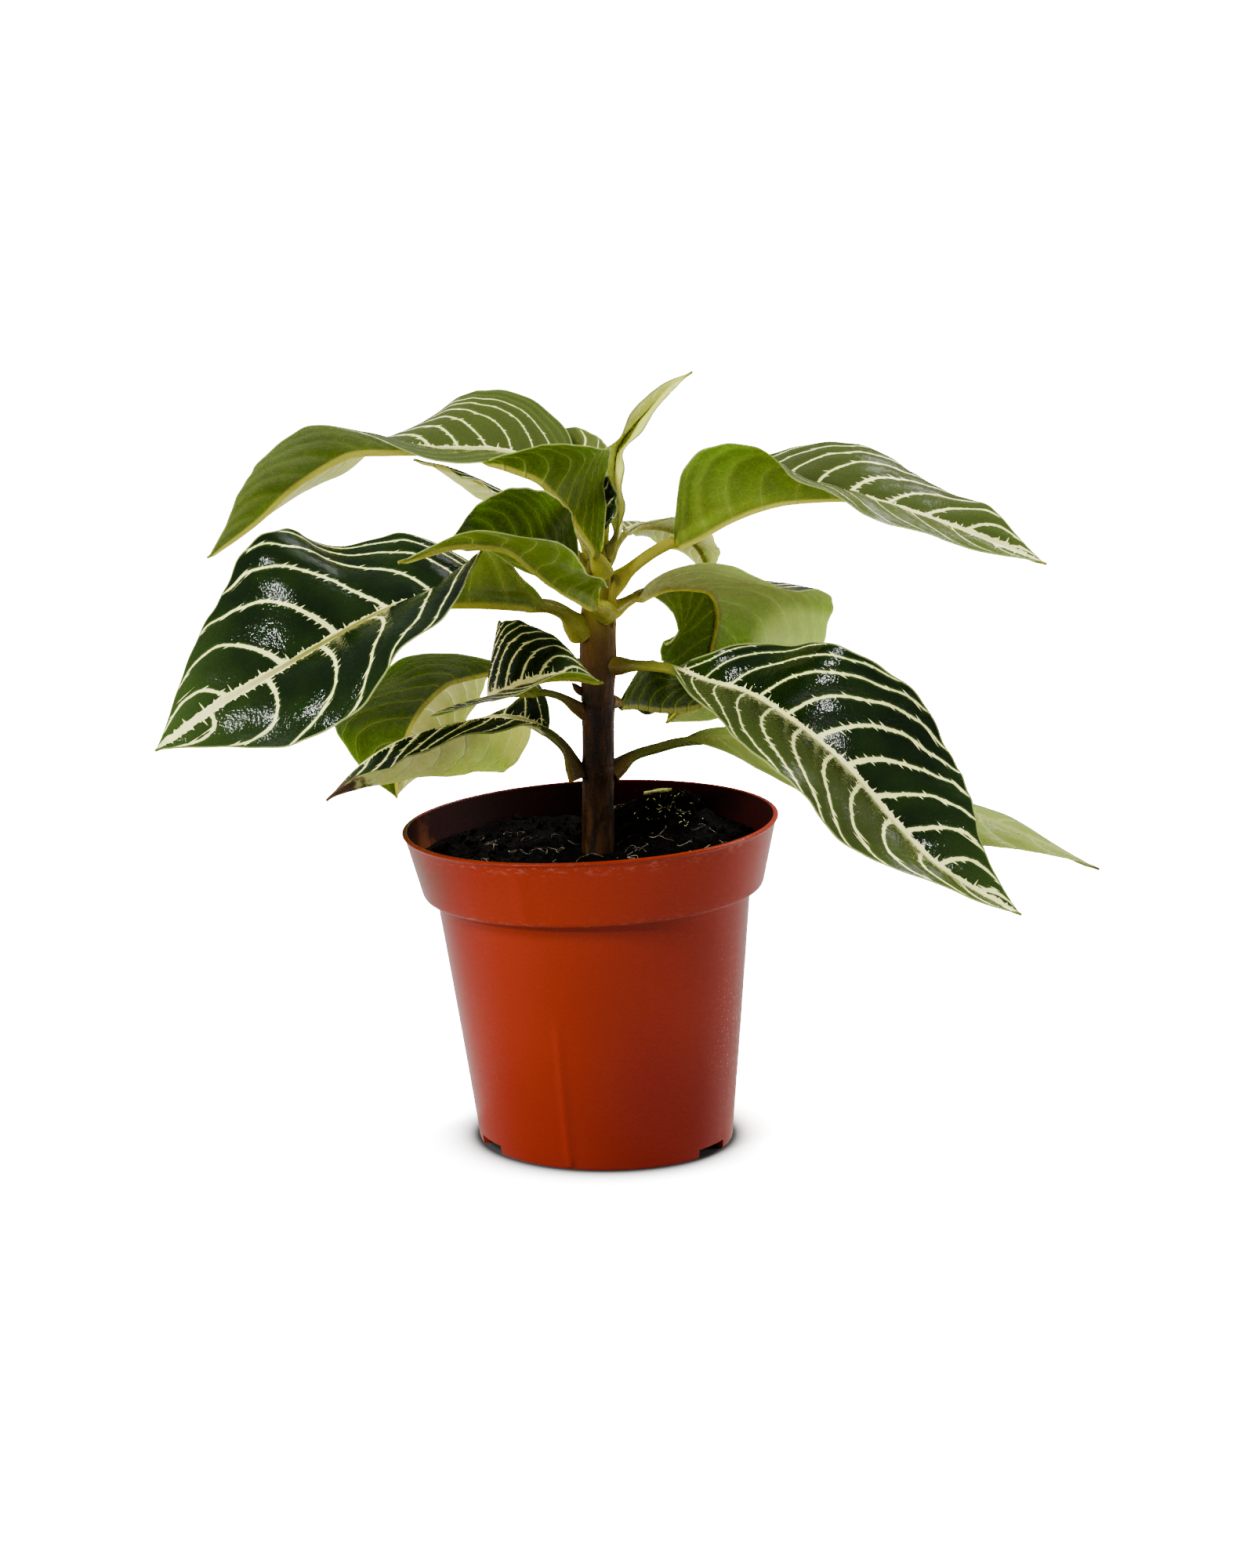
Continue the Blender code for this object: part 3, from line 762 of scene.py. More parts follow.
@dataclass(frozen=True)
class LeafUnder(LeafFinish):
    """Under side of a leaf: olive green that lets light through, with paler veins and a yellow rib, and
    painted backlit glow on some leaves and painted shade on others.
    """
    stalk: Colour = (0.090, 0.100, 0.011)
    yellow_stalk: Colour = (0.26, 0.23, 0.013)
    brown: Colour = (0.075, 0.040, 0.018)
    edge: float = 0.25
    olive: Colour = (0.088, 0.137, 0.0015)
    # The under side's own darker tone, also used as painted shade.
    deep: Colour = (0.013, 0.025, 0.0008)
    # Painted backlit glow, also the paler colour at the margin.
    light: Colour = (0.46, 0.44, 0.15)
    # Brighter painted glow.
    brighter_glow: Colour = (1.0, 0.97, 0.40)
    vein: Colour = (0.215, 0.265, 0.030)
    # Painted glow on the veins.
    glowing_vein: Colour = (0.68, 0.68, 0.34)
    rib: Colour = (0.16, 0.165, 0.015)
    yellow_rib: Colour = (0.50, 0.47, 0.05)
    mottle: Mottle = Mottle(48.0, (0.3, 0.75, 0.0, 0.35), detail=3.0)
    # How the painted glow and painted shade follow each leaf's pale mark.
    painted_glow_ramp: Ramp = (0.0, 1.0)
    brighter_glow_ramp: Ramp = (1.0, 1.5)
    painted_shade_ramp: Ramp = (0.0, -1.0)
    vein_glow_ramp: Ramp = (0.2, 1.0)
    vein_width: float = 0.45
    drawn_from: Ramp = (0.05, 0.2)
    vein_share: float = 0.8
    vein_halo: float = 2.2
    vein_halo_share: float = 0.22
    net_scale: float = 330.0
    net: Ramp = (0.10, 0.0, 0.0, 0.13)
    rib_width: float = 0.6
    rib_outer: float = 0.4
    rib_inner: float = 0.1
    rib_share: float = 0.9
    at_margin: Ramp = (0.8, 0.3, 0.0, 0.5)
    flecks: tuple = (80.0, 0.035, 0.3)
    gloss: Mottle = Mottle(60.0, (0.3, 0.7, 0.36, 0.5))
    grain_scale: float = 700.0
    grain_share: float = 0.3
    vein_rise: float = 0.9
    net_rise: float = 1.2
    relief: float = 0.0003

    def material(self) -> Material:
        """Builds the under side's material.

        Returns:
            The material.
        """
        pen = LeafPen("leaf_under")
        away = self.nearest_vein(pen)[2]
        reach = pen.times(pen.width, self.vein_width)
        line = pen.times(self.band(pen, away, reach), pen.ramp(pen.width, *self.drawn_from))
        halo = pen.ramp(away, pen.plus(reach, self.vein_halo), reach, 0.0, self.vein_halo_share)
        net = pen.ramp(pen.cells(self.net_scale), *self.net)
        rib_reach = pen.times(pen.rib_width, self.rib_width)
        rib = pen.ramp(pen.unsigned(pen.off), pen.plus(rib_reach, self.rib_outer),
                          pen.minus(rib_reach, self.rib_inner))

        ground = pen.mix(self.mottle.draw(pen), self.olive, self.deep)
        # Painted light and shade: a pale mark above 0 paints backlit glow, above 1 a brighter glow, and below
        # 0 shade.
        ground = pen.mix(pen.ramp(pen.pale, *self.painted_glow_ramp), ground, self.light)
        ground = pen.mix(pen.ramp(pen.pale, *self.brighter_glow_ramp), ground, self.brighter_glow)
        ground = pen.mix(pen.ramp(pen.pale, *self.painted_shade_ramp), ground, self.deep)
        tint = pen.mix(pen.ramp(pen.pale, *self.painted_shade_ramp), self.vein, self.olive)
        tint = pen.mix(pen.ramp(pen.pale, *self.vein_glow_ramp), tint, self.glowing_vein)
        colour = pen.mix(pen.larger(halo, net), ground, tint)
        colour = pen.mix(pen.times(line, self.vein_share), colour, tint)
        rib_colour = pen.mix(pen.yellow, self.rib, self.yellow_rib)
        colour = pen.mix(pen.times(rib, self.rib_share), colour, rib_colour)
        colour = pen.mix(pen.ramp(pen.rim, *self.at_margin), colour, self.light)
        colour = self.over_stalk(pen, colour)
        wither = pen.larger(self.withered(pen), pen.specks(*self.flecks))
        colour = pen.mix(wither, colour, self.brown)

        grain = pen.times(pen.noise(self.grain_scale, detail=3.0, rough=0.6), self.grain_share)
        raised = pen.plus(pen.times(line, self.vein_rise), pen.times(net, self.net_rise))
        pen.bump(pen.plus(grain, raised), self.relief)
        return pen.surface(Base_Color=colour, Roughness=self.gloss.draw(pen),
                              Specular_IOR_Level=0.08, Subsurface_Weight=0.55, Subsurface_Scale=0.001,
                              Subsurface_Radius=(0.9, 1.3, 0.25))


@dataclass(frozen=True)
class MouldedPlastic:
    """Thin terracotta plastic with soft gloss, scuffs, a smudge and dried splashes, and painted shade that
    darkens the inside.
    """
    body: Colour = (0.152, 0.0112, 0.0022)
    deeper: Colour = (0.106, 0.0052, 0.0015)
    # Painted shade: the inside wall and floor are the same plastic, darkened as if in shadow.
    inside: Colour = (0.010, 0.0005, 0.0003)
    smudge: Colour = (0.080, 0.020, 0.004)
    splash: Colour = (0.45, 0.21, 0.14)
    dirt: Colour = (0.030, 0.008, 0.004)
    mottle: Mottle = Mottle(14.0, (0.2, 0.8), detail=1.0)
    blot: Mottle = Mottle(90.0, (0.36, 0.52), detail=4.0, rough=0.6)
    blot_share: float = 0.75
    pale_specks: tuple = (900.0, 0.3, 0.4)
    dark_specks: tuple = (520.0, 0.24, 0.35)
    scuff: Mottle = Mottle(300.0, (0.52, 0.66), detail=4.0, rough=0.65, squeeze=(1.0, 1.0, 2.5))
    scuff_share: float = 0.3
    gloss: Mottle = Mottle(12.0, (0.1, 0.9, 0.26, 0.34), detail=1.0)
    inside_matt: float = 0.4
    scuff_matt: float = 0.25
    splash_matt: float = 0.4
    grain_scale: float = 1400.0
    grain_share: float = 0.2
    drawn_scale: float = 160.0
    drawn_squeeze: Point = (1.0, 1.0, 0.06)
    drawn_share: float = 0.8
    relief: float = 0.00006

    def material(self) -> Material:
        """Builds the pot's material.

        Returns:
            The material.
        """
        pen = NodePen("pot_plastic")
        worn, smudged, splashed = pen.attribute("wear")
        inner = pen.attribute("depth")[0]
        colour = pen.mix(self.mottle.draw(pen), self.body, self.deeper)
        # Painted shade over the inside wall and floor.
        colour = pen.mix(inner, colour, self.inside)
        blot = pen.times(self.blot.draw(pen), self.blot_share)
        colour = pen.mix(pen.times(smudged, blot), colour, self.smudge)
        splashes = pen.times(splashed, pen.specks(*self.pale_specks))
        colour = pen.mix(splashes, colour, self.splash)
        colour = pen.mix(pen.times(splashed, pen.specks(*self.dark_specks)), colour, self.dirt)
        scuff = pen.times(worn, self.scuff.draw(pen))
        colour = pen.mix(pen.times(scuff, self.scuff_share), colour, self.splash)

        gloss = pen.scaled(inner, self.inside_matt, self.gloss.draw(pen))
        gloss = pen.scaled(scuff, self.scuff_matt, gloss)
        gloss = pen.scaled(splashes, self.splash_matt, gloss)
        grain = pen.times(pen.noise(self.grain_scale), self.grain_share)
        drawn = pen.noise(self.drawn_scale, squeeze=self.drawn_squeeze)
        pen.bump(pen.scaled(drawn, self.drawn_share, grain), self.relief)
        return pen.surface(Base_Color=colour, Roughness=gloss, Specular_IOR_Level=0.08)


@dataclass(frozen=True)
class Grainy:
    """Rough matt stuff in two tones, such as peat, fibre or dry leaf."""
    name: str
    dark: Colour
    light: Colour
    scale: float
    roughness: float = 0.9
    relief: float = 0.0006
    light_ramp: Ramp = (0.38, 0.72)

    def material(self) -> Material:
        """Builds the two-toned material.

        Returns:
            The material.
        """
        pen = NodePen(self.name)
        pattern = pen.noise(self.scale, detail=5.0, rough=0.65)
        colour = pen.mix(pen.ramp(pattern, *self.light_ramp), self.dark, self.light)
        pen.bump(pattern, self.relief)
        return pen.surface(Base_Color=colour, Roughness=self.roughness, Specular_IOR_Level=0.05)


@dataclass(frozen=True)
class StemSkin:
    """Bark of the stem: dark brown below, greenish among the leaves and light green at the young top."""
    dark: Colour = (0.0065, 0.0030, 0.0012)
    brown: Colour = (0.038, 0.0140, 0.0030)
    green: Colour = (0.080, 0.042, 0.0045)
    tender: Colour = (0.115, 0.098, 0.009)
    cork: Colour = (0.11, 0.06, 0.03)
    brown_ramp: Ramp = (0.35, 0.7)
    green_height: Ramp = (0.150, 0.198, 0.0, 0.85)
    tender_height: Ramp = (0.176, 0.192)
    corky: Mottle = Mottle(900.0, (0.62, 0.72, 0.0, 0.2))
    gloss: Ramp = (0.3, 0.7, 0.42, 0.6)
    relief: float = 0.0005

    def material(self) -> Material:
        """Builds the stem's material.

        Returns:
            The material.
        """
        pen = NodePen("stem_skin")
        grain = pen.noise(420.0, detail=4.0, rough=0.6, squeeze=(1.0, 1.0, 0.22))
        colour = pen.mix(pen.ramp(grain, *self.brown_ramp), self.dark, self.brown)
        colour = pen.mix(pen.ramp(pen.height(), *self.green_height), colour, self.green)
        colour = pen.mix(pen.ramp(pen.height(), *self.tender_height), colour, self.tender)
        colour = pen.mix(self.corky.draw(pen), colour, self.cork)
        pen.bump(grain, self.relief)
        return pen.surface(Base_Color=colour, Roughness=pen.ramp(grain, *self.gloss),
                              Specular_IOR_Level=0.10)


def bell(*shares: float) -> float:
    """Soft spot: 1 in its middle, and fading as the shares of its spread grow."""
    return exp(-sum(share**2 for share in shares))


@dataclass
class Stem:
    """One upright stem with swollen joints, a side bud and a small pointed bract.

    Lengths are in mm. layers: rate and height of each layer of the bark's ridges.
    """
    foot: float = 72.3
    top: float = 210.0
    crown: float = 1.0
    taper: tuple = ((72.0, 5.9), (130.0, 5.6), (155.0, 5.6), (167.0, 6.4), (184.0, 6.4), (196.0, 4.8),
                    (205.0, 3.4), (210.0, 2.0))
    joints: tuple = ((131.0, 0.4), (153.0, 0.4), (167.0, 0.3))
    joint_length: float = 3.5
    scar_rise: float = 1.6
    scar_width: float = 0.55
    scar_depth: float = 0.28
    ridges: float = 1.6
    ridge_length: float = 16.0
    layers: tuple = ((1.0, 0.22), (3.1, 0.09))
    inset: float = 0.1
    bud_size: Point = (1.3, 1.3, 3.0)
    bud_place: Point = (-7.0, -1.0, 159.5)
    bud_tilt: float = -42.0
    bract_size: Point = (1.7, 1.1, 9.5)
    bract_place: Point = (5.0, -4.2, 190.5)
    bract_tilt: float = 3.0
    pointed: float = 0.55
    point_power: float = 1.5
    keels: int = 5
    keel_height: float = 0.12
    rings: int = 220
    sides: int = 72

    def radius(self, z: float) -> float:
        """Radius of the stem with its swollen joints.

        Args:
            z: Height in mm.

        Returns:
            The radius in mm.
        """
        heights, radii = zip(*self.taper)
        radius = float(np.interp(z, heights, radii))
        for joint, swell in self.joints:
            radius += swell * bell((z - joint) / self.joint_length)
        return radius

    def skin(self) -> Mesh:
        """Turned stem with ring scars at its joints and shallow ridges in its bark.

        Returns:
            The mesh.
        """
        heights = np.linspace(self.foot, self.top - self.crown, self.rings)
        vertices = []
        for z in heights:
            radius = self.radius(z)
            scar = sum(bell((z - joint - self.scar_rise) / self.scar_width) for joint, _ in self.joints)
            for k in range(self.sides):
                angle = FULL_TURN * k / self.sides
                spot = Vector((cos(angle) * self.ridges, sin(angle) * self.ridges,
                               z / self.ridge_length))
                bark = sum(noise.noise(spot * rate) * height for rate, height in self.layers)
                bark -= self.scar_depth * scar
                bark -= self.inset
                vertices.append(((radius + bark) * cos(angle), (radius + bark) * sin(angle), z))
        faces = grid_faces(self.rings, self.sides, wrap=True)
        crown = len(vertices)
        vertices.append((0.0, 0.0, self.top))
        last = crown - self.sides
        for k in range(self.sides):
            faces.append((last + k, last + (k + 1) % self.sides, crown))
        faces.append(tuple(range(self.sides))[::-1])
        return join_shapes("stem", [(vertices, faces)])

    def shoot(self, size: Point, spot: Point, tilt: float) -> Mesh:
        """Pointed bud or bract with keels.

        Args:
            size: Half lengths in mm.
            spot: Its middle in mm.
            tilt: Lean in degrees.

        Returns:
            The mesh.
        """
        bm = bmesh.new()
        bmesh.ops.create_uvsphere(bm, u_segments=28, v_segments=24, radius=1.0)
        for vertex in bm.verts:
            x, y, z = vertex.co
            taper = 1.0 - self.pointed * max(0.0, z) ** self.point_power
            keel = 1.0 + self.keel_height * cos(self.keels * atan2(y, x))
            vertex.co = Vector((x * taper * keel * size[0], y * taper * keel * size[1], z * size[2]))
        heading = Matrix.Rotation(atan2(spot[1], abs(spot[0])), 4, "Z")
        turn = heading @ Matrix.Rotation(radians(tilt), 4, "Y")
        bmesh.ops.transform(bm, matrix=turn, verts=bm.verts)
        bmesh.ops.translate(bm, vec=Vector(spot), verts=bm.verts)
        bmesh.ops.scale(bm, vec=Vector((MM, MM, MM)), verts=bm.verts)
        mesh = bpy.data.meshes.new("shoot")
        bm.to_mesh(mesh)
        bm.free()
        return mesh

    def build(self, bark: Material) -> None:
        """Adds the stem with its bud and bract.

        Args:
            bark: Finish of all three.
        """
        add_piece("stem_visual", self.skin(), [bark], "stem")
        add_piece("side_bud", self.shoot(self.bud_size, self.bud_place, self.bud_tilt), [bark])
        add_piece("bract", self.shoot(self.bract_size, self.bract_place, self.bract_tilt), [bark])


@dataclass
class Skeleton:
    """A leaf's rib and all that depends only on the place along it, one row for each station."""
    rib: Array
    tangents: Array
    sides: Array
    ups: Array
    along: Array
    arc: Array
    radius: Array
    bells: Array
    spreads: Array
    opened: Array
    lifts: Array
    blade_length: float

    def half_normals(self) -> list:
        """Upper normals of the two halves where they leave the rib.

        Returns:
            The left half's and the right half's, one row for each station.
        """
        turns = self.lifts * self.opened
        left = np.sin(turns[:, :1]) * self.sides + np.cos(turns[:, :1]) * self.ups
        right = -np.sin(turns[:, 1:]) * self.sides + np.cos(turns[:, 1:]) * self.ups
        return [left, right]


@dataclass
class HalfBlade:
    """One half of a leaf from the rib to the margin, stations by columns.

    upper, lower: points of both sides. vein, rib, spot, tone, mood: its marks, each of
    three numbers, as LeafPen reads them.
    """
    upper: Array
    lower: Array
    vein: Array
    rib: Array
    spot: Array
    tone: Array
    mood: Array


@dataclass
class Leaf:
    """One leaf with its stalk. Lengths are in mm, and a pair is for the left and right half.

    route: rib points from the stem to the tip. stalk: bare length. reach: widest reach.
    left, right: lift of each half above level in degrees, from base to tip. widest: where
    a half is widest, as a share of the blade. sweep: how far the edge leans to the tip, as
    a share of the reach. arch: bow of both halves in degrees. wave, waves: height and
    number of the waves along the edge. lateral_form: for each half, how far the side veins
    lean to the tip where they leave the rib, and how much more towards the margin.
    laterals: side veins on a half. vein_width: width of a side vein at the rib.
    rib_widths: half width of the cream rib from base to tip. core: strength of the olive
    line in the cream rib. vein_share: factor on the veins' width. pale: painted light and
    shade on the under side, from -1, painted shade, over 1, painted backlit glow, to 1.5,
    brightest painted glow. top_pale_and_sheen: paleness of the upper side, from 0, partly
    the leaf's own tone and partly painted sheen. plain: how faint the upper side's veins
    are. yellow: how yellow the rib beneath and the stalk are. dry: how withered the tip is.
    quilt: height of the swelling between side veins.
    """
    name: str
    route: list
    stalk: float
    reach: tuple
    left: list
    right: list
    widest: tuple = (0.5, 0.5)
    sweep: tuple = (0.0, 0.0)
    arch: float = 25.0
    wave: float = 1.0
    waves: float = 4.0
    stalk_radius: float = 1.9
    tip_radius: float = 0.5
    fineness: Fineness = Fineness.BROAD
    lateral_form: tuple = ((0.47, 0.87), (0.47, 0.87))
    laterals: int = 10
    vein_width: float = 1.7
    rib_widths: list = field(default_factory=lambda: [1.0, 1.1, 1.2, 1.3, 1.4])
    core: float = 0.5
    vein_share: tuple = (1.0, 1.0)
    pale: tuple = (0.0, 0.0)
    top_pale_and_sheen: tuple = (0.0, 0.0)
    plain: tuple = (0.0, 0.0)
    yellow: float = 0.4
    dry: float = 0.0
    quilt: float = 0.55

    # The stalk: rows along it and inside the stem, how it widens at its foot, and its taper.
    ROUTE_SAMPLES = 200
    STALK_ROWS = 14
    ROOT_ROWS = 6
    ROOT_DEPTH = 3.2
    ROOT_SWELL = 0.12
    FLARE = 0.75
    FLARE_LENGTH = 4.5
    TAPER_POWER = 0.7

    # The blade: where it counts as open, in stalk radii, its outline, bow, edge and thickness.
    OPENING = 3.0
    OUTLINE_POWER = 1.1
    RIB_CROWDING = 1.3
    BOW_GROWTH = 2.0
    COARSE_RAG = (0.012, 41.0)
    FINE_RAG = (0.008, 97.0)
    WAVE_LAG = 0.2
    MITRE_WIDTH = 2.2
    BLADE = 0.46
    MARGIN_SHARE = 0.6
    RIB_RIDGE = 1.7
    RIDGE_WIDTH = 0.8
    THINNEST = 0.12

    # The swelling between side veins: how it rises from the rib and margin, and its limits.
    SWELL_POWER = 0.8
    SWELL_FROM_RIB = 5.0
    SWELL_FROM_RIM = 6.0
    SWELL_AT_RIM = 0.15
    SWELL_PITCH = 9.0
    SWELL_LIMITS = (0.25, 1.3)
    SWELL_SINK = 0.4

    # The veins: how the side veins are spaced and lean, and how their width grows and ends.
    LATERAL_SPACING = 0.8
    HALF_SHIFT = 0.38
    LEAN_ALONG = ((0.0, 0.45, 1.0), (0.25, 1.0, 0.5))
    PITCH_LIMITS = (0.5, 30.0)
    VEIN_GROWTH = ((0.0, 0.15, 0.35, 0.5, 1.0), (0.25, 0.4, 0.75, 1.0, 0.95))
    VEIN_TAPER = 0.68
    VEIN_END = 1.6
    FIRST_VEIN = 0.35
    VEIN_CROWDING = 0.13
    RIB_LEAST = 0.15
    RIB_SPREAD = 0.22
    RUN_STRETCH = 1.25
    STALK_RIM = 6.0
    DRY_FROM = 0.72
    DRY_LENGTH = 0.28

    def seated_route(self, stem: Stem) -> Array:
        """The route with its first point a small gap off the stem's skin.

        Args:
            stem: The stem that the leaf grows from.

        Returns:
            Points in mm.
        """
        route = np.array(self.route, float)
        outward = unit(np.array([route[0][0], route[0][1], 0.0]))
        heading = route[1] - route[0]
        slope = abs(heading[2]) / np.linalg.norm(heading)
        low = route[0][2] - self.stalk_radius
        widest_stem = max(stem.radius(low + step * self.stalk_radius / 4) for step in range(9))
        reach = widest_stem + GAP + self.stalk_radius * slope
        route[0] = outward * reach + np.array([0.0, 0.0, route[0][2]])
        return route

    def skeleton(self, stem: Stem) -> Skeleton:
        """Works out the rib, its frames and the blade's spread and lift along it.

        Args:
            stem: The stem that the leaf grows from.

        Returns:
            The leaf's skeleton, with a few stations inside the stem.
        """
        route = self.seated_route(stem)
        fine = spline(route, np.linspace(0.0, 1.0, self.ROUTE_SAMPLES))
        length = np.linalg.norm(np.diff(fine, axis=0), axis=1).sum()
        bare = self.stalk / length
        stalk = np.linspace(0.0, bare, self.STALK_ROWS)[:-1]
        blade = bare + (1.0 - bare) * np.linspace(0.0, 1.0, self.fineness.stations)
        stations = np.concatenate([stalk, blade])
        rib = spline(route, stations)
        tangents = unit(np.gradient(rib, stations, axis=0))
        flat = unit(np.array([tangents[0][0], tangents[0][1], 0.0]))
        side = np.cross(flat, [0.0, 0.0, 1.0])
        sides = []
        for direction in tangents:
            side = unit(side - np.dot(side, direction) * direction)
            sides.append(side)
        sides = np.array(sides)
        ups = np.cross(sides, tangents)

        along = np.clip((stations - bare) / (1.0 - bare), 0.0, 1.0)
        powers = [log(0.5) / log(place) for place in self.widest]
        humps = [np.abs(np.sin(pi * along ** power)) ** self.OUTLINE_POWER for power in powers]
        bells = np.stack(humps, axis=1)
        bells[-1] = 0.0
        lifts = [np.radians(spline(values, along)[:, 0]) for values in (self.left, self.right)]
        lifts = np.stack(lifts, axis=1)
        taper = (1.0 - stations) ** self.TAPER_POWER
        radius = self.tip_radius + (self.stalk_radius - self.tip_radius) * taper
        from_foot = stations * length
        radius = radius * (1.0 + self.FLARE * np.exp(-(from_foot / self.FLARE_LENGTH) ** 2))
        spreads = np.array(self.reach) * bells
        opened = smooth_step(spreads / (self.OPENING * radius[:, None]))
        arc = (stations - bare) * length
        depth = np.linspace(self.ROOT_DEPTH, self.ROOT_DEPTH / self.ROOT_ROWS, self.ROOT_ROWS)

        def rooted(rows: Array) -> Array:
            """The rows with the first one repeated for the stations inside the stem."""
            return np.concatenate([np.repeat(rows[:1], self.ROOT_ROWS, axis=0), rows])

        inside = rib[0] - depth[:, None] * tangents[0]
        swollen = radius[0] * (1.0 + self.ROOT_SWELL * depth / self.ROOT_DEPTH)
        return Skeleton(
            rib=np.concatenate([inside, rib]), tangents=rooted(tangents), sides=rooted(sides),
            ups=rooted(ups), along=rooted(along), arc=np.concatenate([arc[0] - depth, arc]),
            radius=np.concatenate([swollen, radius]), bells=rooted(bells), spreads=rooted(spreads),
            opened=rooted(opened), lifts=rooted(lifts), blade_length=(1.0 - bare) * length)

    def chord(self, u: Array, reach: Array, lift: Array, bow: Array) -> tuple:
        """Point at fraction u of a half blade that bows about its straight chord.

        Args:
            u: Fractions from the rib to the margin.
            reach: Reach at each station in mm.
            lift: Lift of the chord in radians.
            bow: Bow in radians.

        Returns:
            Distances across and upward in mm.
        """
        bow = np.maximum(bow, 1e-4)
        turn_radius = reach / (2.0 * np.sin(bow / 2.0))
        first = lift + bow / 2.0
        across = turn_radius * (np.sin(first) - np.sin(first - bow * u))
        rise = turn_radius * (np.cos(first - bow * u) - np.cos(first))
        return across, rise

    def lateral_count(self, skeleton: Skeleton, u: Array, half: int) -> Array:
        """Number of side veins counted from the base, whole on each vein and rising between them.

        Args:
            skeleton: The leaf's skeleton.
            u: Fraction of the reach for each column.
            half: 0 for the left half, 1 for the right.

        Returns:
            The count for each station and column.
        """
        lead = np.interp(skeleton.along, *self.LEAN_ALONG) * self.reach[half]
        start, turn = self.lateral_form[half]
        bend = start * u + turn * u**3
        root = (skeleton.arc[:, None] - lead[:, None] * bend) / skeleton.blade_length
        return self.laterals * np.sign(root) * np.abs(root) ** self.LATERAL_SPACING + self.HALF_SHIFT * half

    def spacing(self, surface: Array, count: Array) -> Array:
        """Distance in mm across the surface for one step of a count.

        Args:
            surface: Points of the surface, stations by columns.
            count: The count at each point.

        Returns:
            The distance at each point.
        """
        down, over = np.gradient(surface, axis=(0, 1))
        count_down, count_over = np.gradient(count)
        e = (down * down).sum(-1)
        f = (down * over).sum(-1)
        g = (over * over).sum(-1)
        area = np.maximum(e * g - f * f, 1e-9)
        steep = (g * count_down**2 - 2 * f * count_down * count_over + e * count_over**2) / area
        return np.clip(1.0 / np.sqrt(np.maximum(steep, 1e-6)), *self.PITCH_LIMITS)

    def half_blade(self, skeleton: Skeleton, half: int) -> HalfBlade:
        """Surface and marks of one half of the leaf.

        Args:
            skeleton: The leaf's skeleton.
            half: 0 for the left half, 1 for the right.

        Returns:
            The half from the rib to the margin.
        """
        sign = (-1.0, 1.0)[half]
        x = np.linspace(0.0, 1.0, self.fineness.columns + 1)
        opened = skeleton.opened[:, half][:, None]
        bell_share = skeleton.bells[:, half][:, None]
        spread = skeleton.spreads[:, half][:, None]
        radius = skeleton.radius[:, None]
        along = skeleton.along[:, None]
        u = np.sin(x * pi / 2) * (1.0 - opened) + x**self.RIB_CROWDING * opened
        coarse = self.COARSE_RAG[0] * np.sin(self.COARSE_RAG[1] * along + half)
        ragged = 1.0 + coarse + self.FINE_RAG[0] * np.sin(self.FINE_RAG[1] * along + 2.0 * half)
        reach = np.maximum(spread * ragged, radius)
        bow = radians(self.arch) * np.minimum(1.0, bell_share * self.BOW_GROWTH)
        lift = (skeleton.lifts[:, half] * skeleton.opened[:, half])[:, None]
        across, rise = self.chord(u, reach, lift, bow)

        own = skeleton.half_normals()
        mitre = unit(own[0] + own[1])[:, None, :]
        blend = smooth_step(u * reach / self.MITRE_WIDTH)[:, :, None]
        normal = unit(mitre * (1.0 - blend) + own[half][:, None, :] * blend)
        turns = self.waves * along + self.WAVE_LAG * half
        ripple = self.wave * bell_share * u * u * np.sin(FULL_TURN * turns)
        lean = self.sweep[half] * reach * bell_share * u
        surface = (skeleton.rib[:, None, :] + (sign * across)[:, :, None] * skeleton.sides[:, None, :]
                   + rise[:, :, None] * skeleton.ups[:, None, :] + ripple[:, :, None] * own[half][:, None, :]
                   + lean[:, :, None] * skeleton.tangents[:, None, :])

        count = self.lateral_count(skeleton, u, half)
        pitch = self.spacing(surface, count)
        off = u * reach
        rim = (1.0 - u) * reach
        swell = (0.5 - 0.5 * np.cos(FULL_TURN * count)) ** self.SWELL_POWER
        from_rim = smooth_step(rim / self.SWELL_FROM_RIM + self.SWELL_AT_RIM)
        inner = smooth_step(off / self.SWELL_FROM_RIB) * from_rim * opened
        relief = self.quilt * swell * inner * np.clip(pitch / self.SWELL_PITCH, *self.SWELL_LIMITS)
        surface = surface + (relief - self.SWELL_SINK * self.quilt * inner)[:, :, None] * normal

        near = np.minimum(off, radius)
        round_thick = 2.0 * np.sqrt(np.maximum(radius**2 - near**2, 0.0))
        thin = self.BLADE * (1.0 - (1.0 - self.MARGIN_SHARE) * u**4)
        ridge = thin + self.RIB_RIDGE * radius * np.exp(-(off / (self.RIDGE_WIDTH * radius)) ** 2)
        thick = np.maximum(round_thick * (1.0 - opened) + ridge * opened, self.THINNEST)
        above = thick * 0.5 + (thin - thick) * 0.5 * opened
        upper = surface + above[:, :, None] * normal
        lower = surface - (thick - above)[:, :, None] * normal

        grown = np.interp(skeleton.along, *self.VEIN_GROWTH)[:, None]
        ends = smooth_step(rim / self.VEIN_END) * (count > self.FIRST_VEIN)
        widest = 0.5 * self.vein_width * self.vein_share[half]
        width = widest * grown * (1.0 - self.VEIN_TAPER * u) * ends
        width = np.minimum(width, self.VEIN_CROWDING * pitch)
        rib_width = spline(self.rib_widths, skeleton.along)[:, 0][:, None] + 0.0 * u
        rib_width = np.minimum(rib_width, self.RIB_LEAST + self.RIB_SPREAD * spread)
        stalk = 1.0 - np.max(skeleton.opened, axis=1)[:, None] + 0.0 * u
        dry = self.dry * smooth_step((along - self.DRY_FROM) / self.DRY_LENGTH)

